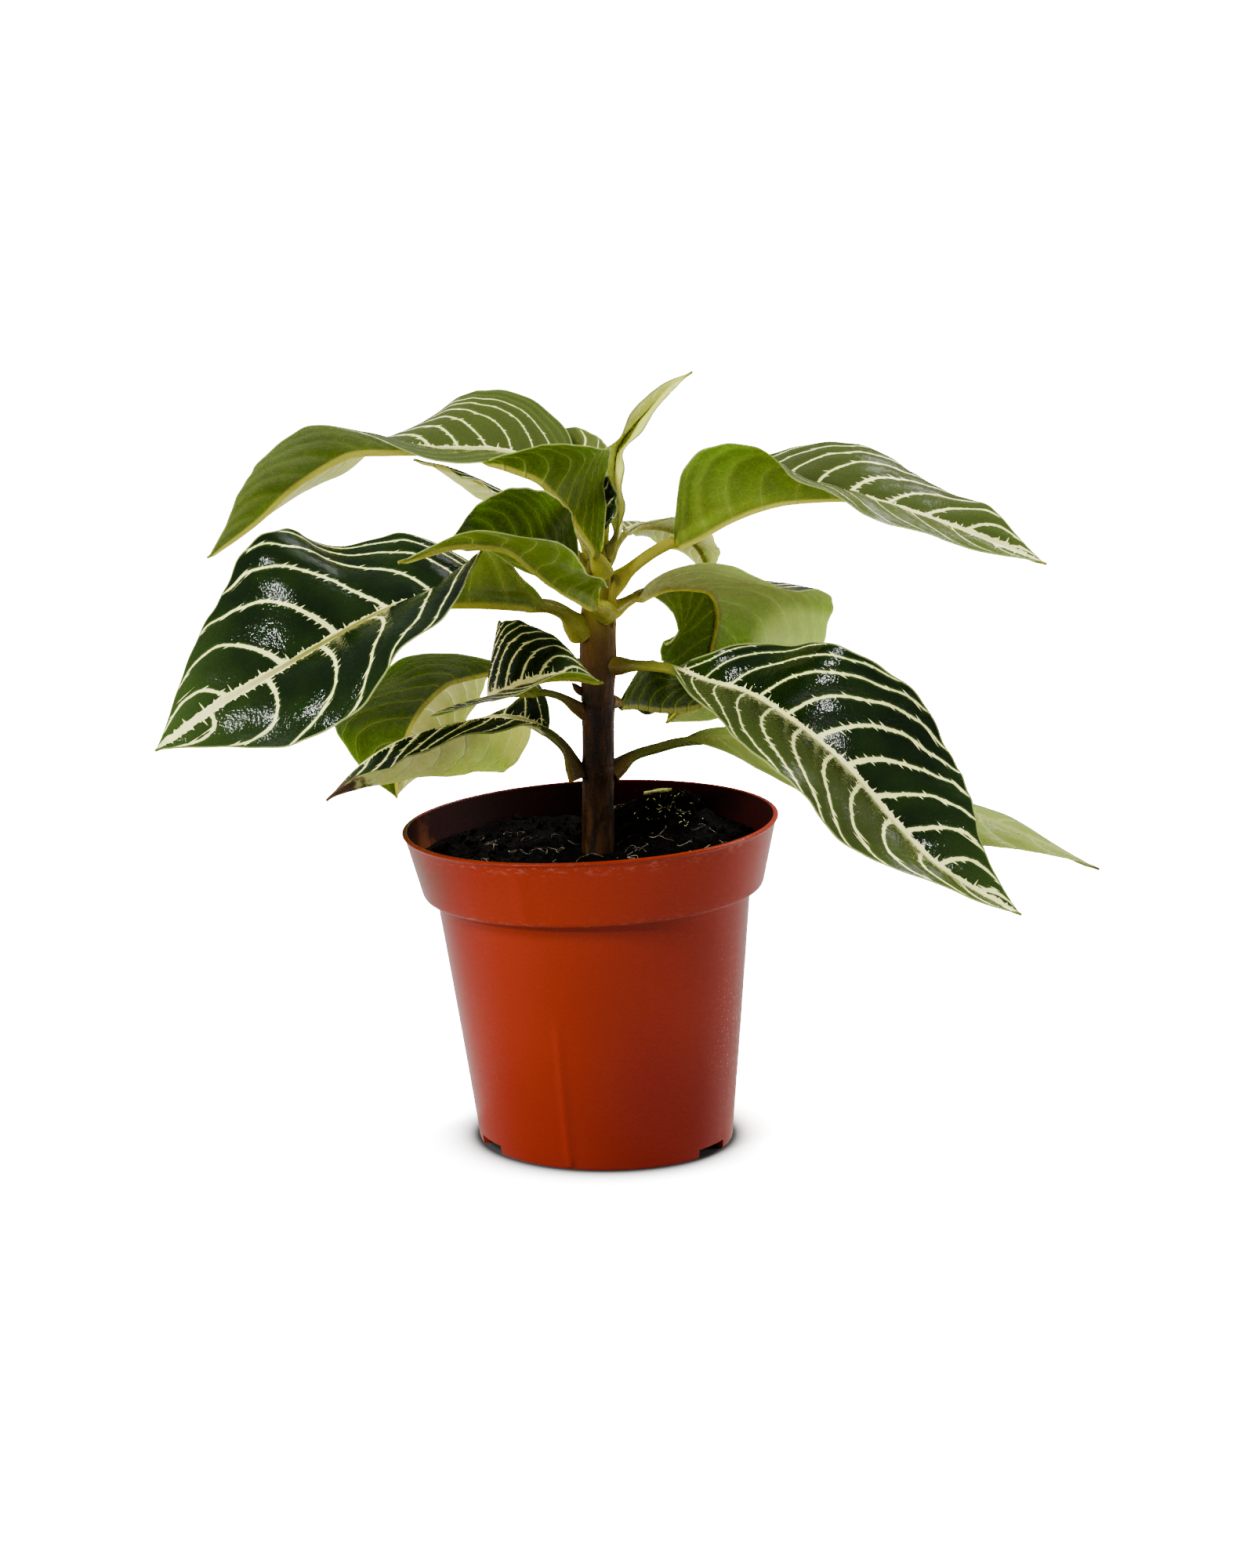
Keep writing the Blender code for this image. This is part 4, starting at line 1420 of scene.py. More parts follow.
        def marks(*values: object) -> Array:
            """Three marks for each point, from grids, columns or plain numbers."""
            return np.stack([value + np.zeros_like(u) for value in values], axis=-1)

        return HalfBlade(
            upper=upper, lower=lower, vein=marks(count, pitch, width),
            rib=marks(sign * off, rib_width, off * self.RUN_STRETCH),
            spot=marks(rim + self.STALK_RIM * stalk, along, stalk),
            tone=marks(self.pale[half], dry, self.core),
            mood=marks(self.top_pale_and_sheen[half], self.plain[half], self.yellow))

    def build(self, stem: Stem, top: Material, under: Material) -> None:
        """Adds the leaf as a closed two-sided blade on a round stalk.

        Args:
            stem: The stem that the leaf grows from.
            top: Finish of the upper side.
            under: Finish of the under side.
        """
        skeleton = self.skeleton(stem)
        left, right = (self.half_blade(skeleton, half) for half in (0, 1))

        def across_both(name: str) -> Array:
            """One grid of the leaf from the left margin to the right."""
            return np.concatenate([getattr(left, name)[:, :0:-1], getattr(right, name)], axis=1)

        upper = across_both("upper")
        lower = across_both("lower")
        rows, columns = upper.shape[:2]
        size = rows * columns
        points = np.concatenate([upper.reshape(-1, 3), lower.reshape(-1, 3)]) * MM
        top_faces = grid_faces(rows, columns)
        under_faces = grid_faces(rows, columns, start=size, flip=True)
        rim_faces = []
        for i in range(rows - 1):
            a = i * columns
            b = a + columns
            c = b - 1
            d = c + columns
            rim_faces.append((a, b, b + size, a + size))
            rim_faces.append((c, c + size, d + size, d))
        for j in range(columns - 1):
            a = size - columns + j
            rim_faces.append((j + 1, j, j + size, j + 1 + size))
            rim_faces.append((a, a + 1, a + 1 + size, a + size))
        mesh = bpy.data.meshes.new(self.name)
        mesh.from_pydata(points.tolist(), [], top_faces + under_faces + rim_faces)
        for name in ("vein", "rib", "spot", "tone", "mood"):
            values = across_both(name).reshape(-1, 3)
            add_marks(mesh, name, np.concatenate([values, values]))
        slots = np.zeros(len(mesh.polygons), np.int32)
        slots[len(top_faces):len(top_faces) + len(under_faces)] = 1
        piece = add_piece(f"{self.name}_visual", mesh, [top, under], self.name)
        piece.data.polygons.foreach_set("material_index", slots)


# Painted light on the leaves: on E, F and H the upper side's paleness is painted sheen, and each under side's
# pale mark paints a backlit glow above 0 and shade below 0.
LEAVES = [
    Leaf("leaf_a", stalk=35, reach=(29, 28), widest=(0.5, 0.26), laterals=14, vein_width=1.4,
         lateral_form=((0.47, 0.87), (1.1, 1.5)), vein_share=(0.1, 1.0), rib_widths=[0.8, 1.5, 1.9, 1.4, 1.0],
         pale=(0.1, 0.8), top_pale_and_sheen=(0.17, 0.17), yellow=0.6,
         route=[(-2, 7, 199), (-5, 10, 210), (-11, 14, 223), (-18, 19, 233), (-33, 25, 238), (-50, 30, 238),
                (-73, 38, 237), (-87, 44, 235), (-98, 48, 229), (-109, 54, 221), (-120, 58, 210),
                (-140, 66, 194)],
         left=[10, 12, 20, 44, 46, 46, 48, 50], right=[10, 22, 14, -8, -31, -34, -18, -20]),
    Leaf("leaf_e", stalk=24, reach=(31, 31), widest=(0.43, 0.36), sweep=(0.0, -0.3), stalk_radius=2.2,
         laterals=11, vein_share=(1.0, 0.35), rib_widths=[1.0, 1.0, 1.1, 1.4, 1.8], core=0.1,
         pale=(0.1, 0.1), top_pale_and_sheen=(0.14, 0.22), yellow=0.9,
         route=[(6, 3, 196), (12, 5, 201), (19, 6, 206), (34, 8, 213), (46, 10, 219), (63, 12, 224),
                (75, 12, 225), (88, 10, 225), (101, 7, 222), (117, 3, 217), (132, -2, 212), (153, -7, 204)],
         left=[30, 60, 16, 21, 8, 13, 34, 20], right=[70, 90, 58, 27, 8, 1, -10, 0]),
    Leaf("leaf_h", stalk=19, reach=(34, 32), sweep=(0.1, 0.1), laterals=12, vein_width=1.9,
         lateral_form=((0.47, 0.87), (0.08, 1.15)), rib_widths=[0.9, 1.2, 1.3, 1.4, 1.2], core=0.15,
         top_pale_and_sheen=(0.0, 0.1), yellow=0.2,
         route=[(7, -3, 168), (17, -8, 169), (27, -15, 169), (37, -24, 167), (50, -34, 165), (67, -49, 157),
                (84, -62, 144), (98, -72, 129), (112, -80, 116), (122, -84, 110), (139, -90, 102)],
         left=[40, 72, 48, 72, 58, 30, 34, 50, 50, 30], right=[-10, -14, -8, 0, 0, 0, 15, 0]),
    Leaf("leaf_k", stalk=14, reach=(38, 44), widest=(0.55, 0.55), sweep=(-0.25, 0.0), stalk_radius=2.6,
         laterals=9, vein_width=1.8, lateral_form=((0.12, 1.05), (0.47, 0.87)),
         rib_widths=[1.1, 1.3, 1.5, 1.6, 1.7], core=1.0, pale=(0.1, 0.0),
         route=[(-6, -3, 182), (-11, -8, 187), (-22, -19, 193), (-32, -29, 196), (-42, -38, 198),
                (-52, -46, 199), (-66, -54, 198), (-76, -59, 194), (-86, -63, 189), (-105, -70, 179),
                (-124, -76, 169), (-144, -82, 155)],
         left=[80, 80, 50, 5, -8, -34, -60, -30], right=[10, 39, 42, 28, 56, 40, 34, 20]),
    Leaf("leaf_m", stalk=8, reach=(21, 13), widest=(0.45, 0.7), stalk_radius=2.2,
         fineness=Fineness.MIDDLE, pale=(-0.2, -0.1),
         route=[(2, -8, 188), (-1, -15, 191), (-7, -26, 197), (-12, -38, 202), (-21, -55, 212),
                (-30, -71, 221), (-36, -79, 223), (-45, -87, 224), (-63, -98, 220)],
         left=[50, 16, 0, -5, 1, 11, 26, 30], right=[10, 15, 5, -3, -2, -6, -3, -20]),
    Leaf("leaf_g", stalk=10, reach=(24, 44), widest=(0.58, 0.45), wave=0.4, pale=(-0.3, 0.5), yellow=0.8,
         route=[(6, 6, 186), (12, 11, 189), (18, 18, 191), (25, 27, 191), (33, 38, 189), (38, 47, 186),
                (41, 55, 180), (42, 60, 173), (41, 63, 165), (39, 66, 154), (34, 67, 144), (24, 64, 134)],
         left=[-30, -75, -72, -64, -58, -46, -26, -10], right=[50, 24, 1, 5, 0, -34, -10, -10]),
    Leaf("leaf_b", stalk=4, reach=(24, 13), widest=(0.5, 0.6), sweep=(-0.2, 0.0),
         fineness=Fineness.MIDDLE, pale=(-0.4, -0.3),
         route=[(1, -6, 203), (-1, -9, 208), (-4, -13, 214), (-8, -17, 221), (-11, -21, 227), (-15, -25, 232),
                (-20, -29, 237), (-27, -32, 240), (-33, -34, 242), (-38, -35, 243)],
         left=[30, 76, 84, 78, 50, 30, 25, 30], right=[10, 20, 30, 40, 40, 30, 20, 10]),
    Leaf("leaf_c", stalk=4, reach=(24, 6), sweep=(0.1, 0.0), fineness=Fineness.MIDDLE,
         vein_share=(0.4, 0.4), pale=(-1.0, -1.0),
         route=[(-5, -4, 197), (-10, -11, 201), (-17, -19, 205), (-24, -27, 209), (-32, -32, 213),
                (-42, -36, 215), (-52, -40, 216)],
         left=[40, 60, 60, 60, 70, 80, 80, 30], right=[20, 20, 10, 10, 10, 0, 0, 0]),
    Leaf("leaf_d", stalk=4, reach=(8, 7), widest=(0.45, 0.4), stalk_radius=1.1, fineness=Fineness.SMALL,
         pale=(1.4, 1.4), top_pale_and_sheen=(1.4, 1.5), plain=(0.75, 1.0),
         route=[(5, 3, 207), (7, 6, 214), (7, 7, 222), (6, 6, 232), (7, 4, 242), (11, 1, 249), (17, -3, 256),
                (24, -6, 264), (32, -9, 270)],
         left=[40, 20, 85, 95, 50, 30], right=[60, 25, 35, 36, 30, 10]),
    Leaf("leaf_f", stalk=14, reach=(16, 14), widest=(0.45, 0.45), stalk_radius=1.4,
         fineness=Fineness.MIDDLE, laterals=13, vein_width=3.6, pale=(0.9, 0.9), top_pale_and_sheen=(0.4, 0.6),
         route=[(4, 4, 204), (8, 11, 210), (13, 20, 213), (20, 29, 212), (28, 39, 208), (35, 48, 201),
                (40, 58, 188)],
         left=[0, 0, -10, -14, -10, 0], right=[20, 15, 10, 0, 0, 0]),
    Leaf("leaf_i", stalk=20, reach=(20, 20), pale=(0.5, 0.5), top_pale_and_sheen=(0.7, 0.7), plain=(0.9, 0.9),
         yellow=0.0, dry=0.35,
         route=[(7, 3, 131), (11, 5, 134), (22, 9, 137), (32, 12, 139), (45, 16, 139), (65, 23, 134),
                (93, 31, 125), (121, 37, 112), (150, 41, 99), (179, 43, 85)],
         left=[30, 10, 3, 2, 11, 10], right=[-10, -50, -55, -47, -28, 0]),
    Leaf("leaf_j", stalk=4, reach=(11, 17), widest=(0.35, 0.27), sweep=(0.0, -0.3), stalk_radius=1.4,
         fineness=Fineness.MIDDLE, pale=(-0.95, -0.95), yellow=0.0,
         route=[(6, 5, 154), (9, 11, 152), (13, 15, 151), (22, 22, 148), (32, 30, 147), (41, 37, 148),
                (48, 42, 148)],
         left=[0, -5, -10, -10, -5, 0], right=[60, 65, 62, 55, 40, 20]),
    Leaf("leaf_n", stalk=14, reach=(26, 22), widest=(0.52, 0.5), arch=16, wave=0.5, waves=2.0,
         stalk_radius=1.4, laterals=13, vein_width=1.1, rib_widths=[1.2, 1.7, 2.1, 1.9, 1.3], core=0.1,
         yellow=0.1,
         route=[(-7, -2, 153), (-12, -4, 157), (-20, -8, 160), (-29, -13, 161), (-36, -20, 161),
                (-37, -29, 162), (-32, -37, 165), (-25, -42, 169), (-15, -45, 172), (-7, -45, 172),
                (2, -43, 170)],
         left=[20, 60, 80, 88, 88, 84, 76, 40], right=[10, -21, -26, -21, -26, -30, -6, 0]),
    Leaf("leaf_o", stalk=16, reach=(14, 27), widest=(0.5, 0.42), sweep=(0.0, -0.4), pale=(1.15, 1.15),
         yellow=0.0, dry=0.9,
         route=[(-7, -1, 131), (-11, 0, 138), (-18, 2, 144), (-24, 4, 147), (-35, 8, 148), (-48, 13, 145),
                (-60, 18, 141), (-71, 22, 136), (-84, 25, 127), (-96, 26, 114)],
         left=[10, -30, -22, -20, -30, -35, -30, 0], right=[60, 40, -20, -55, -58, -62, -70, -40]),
    Leaf("leaf_p", stalk=22, reach=(34, 31), widest=(0.58, 0.5), pale=(-0.5, 0.95),
         route=[(-6, 4, 166), (-17, 9, 167), (-28, 14, 166), (-36, 20, 163), (-47, 28, 159), (-53, 34, 156),
                (-59, 40, 150), (-64, 46, 143), (-68, 51, 134), (-72, 55, 120), (-73, 57, 108)],
         left=[10, 40, 34, 18, 20, 34, 40, 10], right=[0, -20, -8, -2, -2, -13, -50, -10]),
    Leaf("leaf_q", stalk=8, reach=(10, 10), stalk_radius=1.1, fineness=Fineness.SMALL, laterals=7,
         vein_width=1.0, rib_widths=[0.5, 0.6, 0.6, 0.5], pale=(0.3, 0.3), top_pale_and_sheen=(0.3, 0.3),
         route=[(2, 4, 207), (3, 11, 216), (0, 21, 226), (-6, 32, 235), (-13, 42, 240), (-20, 50, 241)],
         left=[30, 30, 30, 20, 20, 10], right=[30, 30, 30, 20, 20, 10]),
    Leaf("leaf_r", stalk=8, reach=(10, 18), widest=(0.5, 0.35), stalk_radius=1.2,
         fineness=Fineness.SMALL, pale=(0.75, 0.75),
         route=[(-5, 2, 203), (-13, 6, 212), (-24, 12, 221), (-38, 18, 228), (-52, 23, 233), (-64, 27, 235)],
         left=[20, 20, 10, 10, 10, 10], right=[-20, -40, -45, -43, -50, -10]),
    Leaf("leaf_s", stalk=3, reach=(4, 9), stalk_radius=0.9, fineness=Fineness.SMALL, laterals=4,
         vein_width=0.7, rib_widths=[0.3, 0.4, 0.4, 0.3], core=0.8, plain=(0.3, 0.3),
         route=[(-1, -2, 208), (-1, -1, 214), (-1, -1, 220), (-1, -1, 227), (0, -1, 233), (1, -2, 239)],
         left=[70, 80, 80, 80, 70, 30], right=[0, 5, 10, 10, 10, 10]),
]


@dataclass
class Pot:
    """Thin moulded nursery pot with a skirted rim band, a lip and a notched foot.

    Lengths are in mm and angles in degrees. rim_wear, ledge_wear: strength, distance below
    the rim or above the ledge, and spread. smudge, splash: middle and spread, across and up.
    """
    height: float = 113.0
    axis_x: float = 2.8
    base_radius: float = 44.5
    body_top_radius: float = 54.6
    band_bottom_radius: float = 59.0
    rim_radius: float = 64.6
    band_height: float = 23.5
    lip_height: float = 1.6
    lip_proud: float = 0.7
    wall: float = 1.3
    foot_height: float = 5.0
    foot_width: float = 2.4
    floor_corner: float = 4.0
    pad_radius: float = 26.0
    pad_slope: float = 2.0
    lean_x: float = -5.6
    tilt: float = 0.052
    flat: float = 2.4
    notches: int = 3
    notch_width: float = 15.0
    notch_height: float = 6.6
    notch_depth: float = 12.0
    notch_first_angle: float = -34.0
    sides: int = 320
    corner: float = 0.45
    longest_step: float = 4.0
    seam_angle: float = -106.0
    seam_top: float = 58.0
    seam_fade: float = 14.0
    seam_width: float = 1.3
    seam_height: float = 0.6
    fold_angle: float = -112.0
    fold_width: float = 3.0
    fold_height: float = 0.35
    unevenness: float = 0.12
    rim_wear: tuple = (0.55, 2.6, 1.6)
    ledge_wear: tuple = (0.4, 0.6, 0.7)
    smudge: tuple = ((-60.0, 8.0), (102.0, 10.0))
    smudge_depth: float = 25.0
    splash: tuple = ((48.0, 5.5), (40.0, 28.0))

    @property
    def ledge(self) -> float:
        """Height of the band's lower edge in mm."""
        return self.height - self.band_height

    def radius(self, z: float, inside: bool = False) -> float:
        """Radius of the plain turned pot.

        Args:
            z: Height in mm.
            inside: Whether the wall's inside is asked for.

        Returns:
            The radius in mm.
        """
        if z < self.ledge:
            outer = self.base_radius + (self.body_top_radius - self.base_radius) * z / self.ledge
        else:
            share = (z - self.ledge) / self.band_height
            outer = self.band_bottom_radius + (self.rim_radius - self.band_bottom_radius) * share
        return outer - self.wall if inside else outer

    def settle(self, x: float, y: float, z: float) -> tuple:
        """Moves a point of the plain pot to where the soft, leaning pot has it.

        Args:
            x: Its place across in mm, from the pot's axis.
            y: Its place in depth in mm.
            z: Its height in mm.

        Returns:
            Its new place in mm.
        """
        share = max(0.0, min(1.0, z / self.height))
        front = max(0.0, -y / self.rim_radius) ** 4 * cos(atan2(x, -y) * 1.5)
        return (x + self.axis_x + self.lean_x * share, y + self.flat * share**3 * front,
                z + self.tilt * x * share)

    def corners(self) -> list:
        """Corners of the turned profile from the floor's middle over the rim to the pad's middle.

        Returns:
            Pairs of radius and height in mm.
        """
        floor_top = self.foot_height + self.wall
        ledge = self.ledge
        inner_base = self.radius(floor_top, inside=True)
        profile = [(0.0, self.wall), (self.pad_radius - self.wall, self.wall),
                   (self.pad_radius - self.wall + self.pad_slope, floor_top),
                   (inner_base - self.floor_corner, floor_top)]
        for angle in (radians(30), radians(60)):
            profile.append((inner_base - self.floor_corner + self.floor_corner * sin(angle),
                            floor_top + self.floor_corner * (1 - cos(angle))))
        above_corner = floor_top + self.floor_corner
        return profile + [
            (self.radius(above_corner, inside=True), above_corner),
            (self.radius(ledge - 0.1, inside=True), ledge + 0.6),
            (self.radius(ledge + 0.1, inside=True), ledge + 2.2),
            (self.radius(self.height, inside=True), self.height - 0.4),
            (self.rim_radius - self.wall * 0.5, self.height),
            (self.rim_radius + self.lip_proud * 0.7, self.height - 0.3),
            (self.rim_radius + self.lip_proud, self.height - self.lip_height * 0.5),
            (self.rim_radius - 0.2, self.height - self.lip_height),
            (self.band_bottom_radius + 0.3, ledge + 1.0),
            (self.band_bottom_radius - 0.3, ledge),
            (self.body_top_radius, ledge - 0.5),
            (self.base_radius, 0.8),
            (self.base_radius - 0.4, 0.0),
            (self.base_radius - self.foot_width, 0.0),
            (self.base_radius - self.foot_width - 0.8, self.foot_height),
            (self.pad_radius + self.pad_slope, self.foot_height),
            (self.pad_radius, 0.0),
            (0.0, 0.0),
        ]

    def profile(self) -> Array:
        """The profile with rounded corners and long runs split up.

        Returns:
            Pairs of radius and height in mm.
        """
        corners = np.array(self.corners())
        rounded = [corners[0]]
        for before, here, after in zip(corners[:-2], corners[1:-1], corners[2:]):
            back = before - here
            on = after - here
            cut = min(self.corner, 0.4 * np.linalg.norm(back), 0.4 * np.linalg.norm(on))
            start = here + unit(back) * cut
            end = here + unit(on) * cut
            for t in (0.0, 0.33, 0.67, 1.0):
                rounded.append((1 - t) ** 2 * start + 2 * t * (1 - t) * here + t * t * end)
        rounded.append(corners[-1])
        split = [rounded[0]]
        for here, after in zip(rounded[:-1], rounded[1:]):
            steps = max(1, ceil(np.linalg.norm(after - here) / self.longest_step))
            split.extend(here + (after - here) * k / steps for k in range(1, steps + 1))
        return np.array(split)

    def swelling(self, angle: float, radius: float, z: float) -> float:
        """How far the outside stands off its plain form: a mould seam, a soft fold and unevenness.

        Args:
            angle: Angle round the axis in radians.
            radius: Radius of the point in mm.
            z: Its height in mm.

        Returns:
            The distance in mm.
        """
        if z > self.ledge + 0.5 and radius > self.radius(z) - 0.2:
            turn = remainder(angle - radians(self.fold_angle), FULL_TURN)
            return self.fold_height * bell(turn * radius / self.fold_width)
        if radius < self.base_radius - 1.0 or z > self.ledge - 1.0 or z < 1.0:
            return 0.0
        turn = remainder(angle - radians(self.seam_angle), FULL_TURN)
        fade = max(0.0, min(1.0, (self.seam_top - z) / self.seam_fade))
        seam = self.seam_height * bell(turn * radius / self.seam_width) * fade
        return seam + self.unevenness * sin(3 * angle + 1.0) * sin(pi * z / self.ledge)

    def shell(self) -> Mesh:
        """Turned and settled pot with its notches cut.

        Returns:
            The mesh.
        """
        profile = self.profile()
        vertices = []
        for radius, z in profile:
            for k in range(self.sides):
                angle = -FULL_TURN * k / self.sides
                out = radius + self.swelling(angle, radius, z)
                vertices.append(self.settle(out * cos(angle), out * sin(angle), z))
        mesh = join_shapes("pot", [(vertices, grid_faces(len(profile), self.sides, wrap=True))])
        bm = bmesh.new()
        bm.from_mesh(mesh)
        bmesh.ops.remove_doubles(bm, verts=bm.verts, dist=0.000002)
        bmesh.ops.recalc_face_normals(bm, faces=bm.faces)
        bm.to_mesh(mesh)
        bm.free()
        return self.notched(mesh)

    def notched(self, mesh: Mesh) -> Mesh:
        """Cuts the drain notches out of the foot.

        Args:
            mesh: The whole pot.

        Returns:
            The notched pot.
        """
        thing = put("pot_whole", mesh)
        cutters = []
        reach = self.base_radius + self.pad_slope
        size = Vector((self.notch_depth, self.notch_width, self.notch_height)) * MM
        for index in range(self.notches):
            angle = radians(self.notch_first_angle + 360.0 / self.notches * index)
            spot = Vector((self.axis_x + reach * cos(angle), reach * sin(angle), 0.0)) * MM
            bm = bmesh.new()
            bmesh.ops.create_cube(bm, size=1.0)
            turn = Matrix.Translation(spot) @ Matrix.Rotation(angle, 4, "Z") @ Matrix.Diagonal((*size, 1.0))
            bmesh.ops.transform(bm, matrix=turn, verts=bm.verts)
            shape = bpy.data.meshes.new("notch")
            bm.to_mesh(shape)
            bm.free()
            cutter = put("notch", shape)
            cut = thing.modifiers.new("notch", "BOOLEAN")
            cut.operation = "DIFFERENCE"
            cut.object = cutter
            cutters.append(cutter)
        evaluated = thing.evaluated_get(bpy.context.evaluated_depsgraph_get())
        result = bpy.data.meshes.new_from_object(evaluated)
        for used in (thing, *cutters):
            bpy.data.objects.remove(used)
        return result

    def mark_wear(self, mesh: Mesh) -> None:
        """Writes where the plastic is scuffed, smudged or splashed, and where it is inside, which gets
        painted shade.

        Args:
            mesh: The pot's mesh, in metres.
        """
        wear = []
        depth = []
        for vertex in mesh.vertices:
            x, y, z = (value / MM for value in vertex.co)
            share = max(0.0, min(1.0, z / self.height))
            middle = self.axis_x + self.lean_x * share
            level = z - self.tilt * x * share
            inward = vertex.normal.x * (x - middle) + vertex.normal.y * y < 0.0
            inside = 1.0 if inward and level > self.foot_height and level < self.height - 0.2 else 0.0
            strength, below, spread = self.rim_wear
            rim = strength * bell((level - self.height + below) / spread)
            strength, above, spread = self.ledge_wear
            ledge = strength * bell((level - self.ledge - above) / spread)
            smudge, splash = (bell((x - across) / wide, (level - up) / tall)
                              for (across, wide), (up, tall) in (self.smudge, self.splash))
            wear.append((min(1.0, rim + ledge) * (1.0 - inside), smudge * (y < self.smudge_depth),
                         splash * (y < 0.0)))
            # The inside mark paints shade over the inside of the pot.
            depth.append((inside, 0.0, 0.0))
        add_marks(mesh, "wear", wear)
        add_marks(mesh, "depth", depth)

    def build(self, plastic: Material) -> None:
        """Adds the pot.

        Args:
            plastic: Its finish.
        """
        mesh = self.shell()
        self.mark_wear(mesh)
        add_piece("pot_visual", mesh, [plastic], "pot", sharp_angle=40.0)


@dataclass
class Soil:
    """Peat fill with a rough top and a mound, loose crumbs, pale curly fibres and dry bits.

    Lengths are in mm, and a pair of numbers for crumbs, fibres and bits is the least and
    the most of a random size.
    """
    pot: Pot
    top: float = 102.0
    lump: float = 9.0
    crumb: float = 2.2
    finer: tuple = (2.7, 5.5, 11.0)
    finer_heights: tuple = (0.6, 0.9, 0.45)
    mound: float = 10.0
    mound_place: tuple = (24.0, 42.0)
    mound_spread: float = 18.0
    seed: int = 7
    hole_radius: float = 5.5
    hole_depth: float = 30.0
    sides: int = 150
    rings: int = 56
    crumbs: int = 620
    crumb_least: float = 0.45
    crumb_more: float = 1.5
    crumb_lump: float = 0.5
    fibres: int = 70
    fibre_curl: float = 0.5
    fibre_bend: float = 0.35
    fibre_steps: tuple = (8, 18)
    fibre_step: float = 0.8
    fibre_radius: tuple = (0.07, 0.15)
    fibre_hump: tuple = (0.3, 1.6)
    fibre_lift: float = 0.25
    fibre_smoothing: int = 3
    bits: int = 45
    bit_place: tuple = (-1.0, -9.0)
    bit_scatter: float = 7.0
    bit_reach: tuple = (0.25, 0.7)
    bit_radius: tuple = (0.10, 0.22)
    bit_ends: tuple = (0.1, 0.08)
    bit_lift: float = 0.3
    thread_sides: int = 5

    def relief(self, x: float, y: float) -> float:
        """Height of the rough top above its level.

        Args:
            x: Place across in mm.
            y: Place in depth in mm.

        Returns:
            The height in mm.
        """
        spot = Vector((x / self.lump, y / self.lump, self.seed))
        second, third, fourth = (noise.noise(spot * rate) for rate in self.finer)
        rough = noise.noise(spot) * self.crumb + second * self.crumb * self.finer_heights[0]
        fine = third * self.finer_heights[1] + fourth * self.finer_heights[2]
        away = hypot(x - self.mound_place[0], y - self.mound_place[1]) / self.mound_spread
        return rough + fine + self.mound * bell(away)

    def level(self, x: float) -> float:
        """Height in mm of the smooth top, which tilts as the pot does."""
        middle = self.pot.settle(0.0, 0.0, self.top)[0]
        return self.top + self.pot.tilt * self.top / self.pot.height * (x - middle)

    def wall_ring(self, radius: float, z: float) -> list:
        """Ring of points in mm that follows the pot's wall."""
        angles = [FULL_TURN * k / self.sides for k in range(self.sides)]
        return [self.pot.settle(radius * cos(a), radius * sin(a), z) for a in angles]

    def body(self) -> Mesh:
        """Closed fill from the hole round the stem over the rough top down to the floor.

        Returns:
            The mesh.
        """
        pot = self.pot
        ledge = pot.ledge
        floor = pot.foot_height + pot.wall + GAP
        angles = [FULL_TURN * k / self.sides for k in range(self.sides)]
        hole = [np.array([self.hole_radius * cos(a), self.hole_radius * sin(a)]) for a in angles]
        edge = self.wall_ring(pot.radius(self.top, inside=True) - GAP, self.top)
        rings = [[(x, y, self.top - self.hole_depth) for x, y in hole]]
        for index in range(self.rings):
            share = index / (self.rings - 1)
            calm = min(1.0, 0.4 + 8.0 * min(share, 1.0 - share))
            ring = []
            for near, far in zip(hole, edge):
                x, y = near + (np.array(far[:2]) - near) * share
                ring.append((x, y, self.level(x) + self.relief(x, y) * calm))
            rings.append(ring)
        band_inside = pot.radius(ledge + 0.1, inside=True) - 2 * GAP
        body_inside = pot.radius(ledge - 1.0, inside=True) - 2 * GAP
        corner = floor + pot.floor_corner
        pad = pot.pad_radius - pot.wall - 2 * GAP
        turned_rings = ((band_inside, ledge + 3.4), (band_inside, ledge + 2.8), (body_inside, ledge + 2.8),
                        (body_inside, ledge - 1.0), (pot.radius(corner, inside=True) - 2 * GAP, corner),
                        (pot.radius(corner, inside=True) - pot.floor_corner, floor),
                        (pad + pot.pad_slope, floor), (pad, pot.wall + GAP))
        rings.extend(self.wall_ring(radius, z) for radius, z in turned_rings)
        vertices = [point for ring in rings for point in ring]
        faces = grid_faces(len(rings), self.sides, wrap=True, flip=True)
        last = len(vertices) - self.sides
        faces.append(tuple(range(self.sides)))
        faces.append(tuple(range(last, last + self.sides))[::-1])
        return join_shapes("soil", [(vertices, faces)])

    def scattered(self, draw: random.Random, margin: float) -> tuple:
        """Picks a random place on the soil, clear of the stem and the wall.

        Args:
            draw: Source of the random numbers.
            margin: Space to keep to the wall in mm.

        Returns:
            Places across and in depth in mm.
        """
        reach = self.pot.radius(self.top, inside=True) - margin
        radius = sqrt(draw.uniform((self.hole_radius + 1.0) ** 2, reach**2))
        angle = draw.uniform(0.0, FULL_TURN)
        middle = self.pot.settle(0.0, 0.0, self.top)[0]
        return middle + radius * cos(angle), radius * sin(angle)

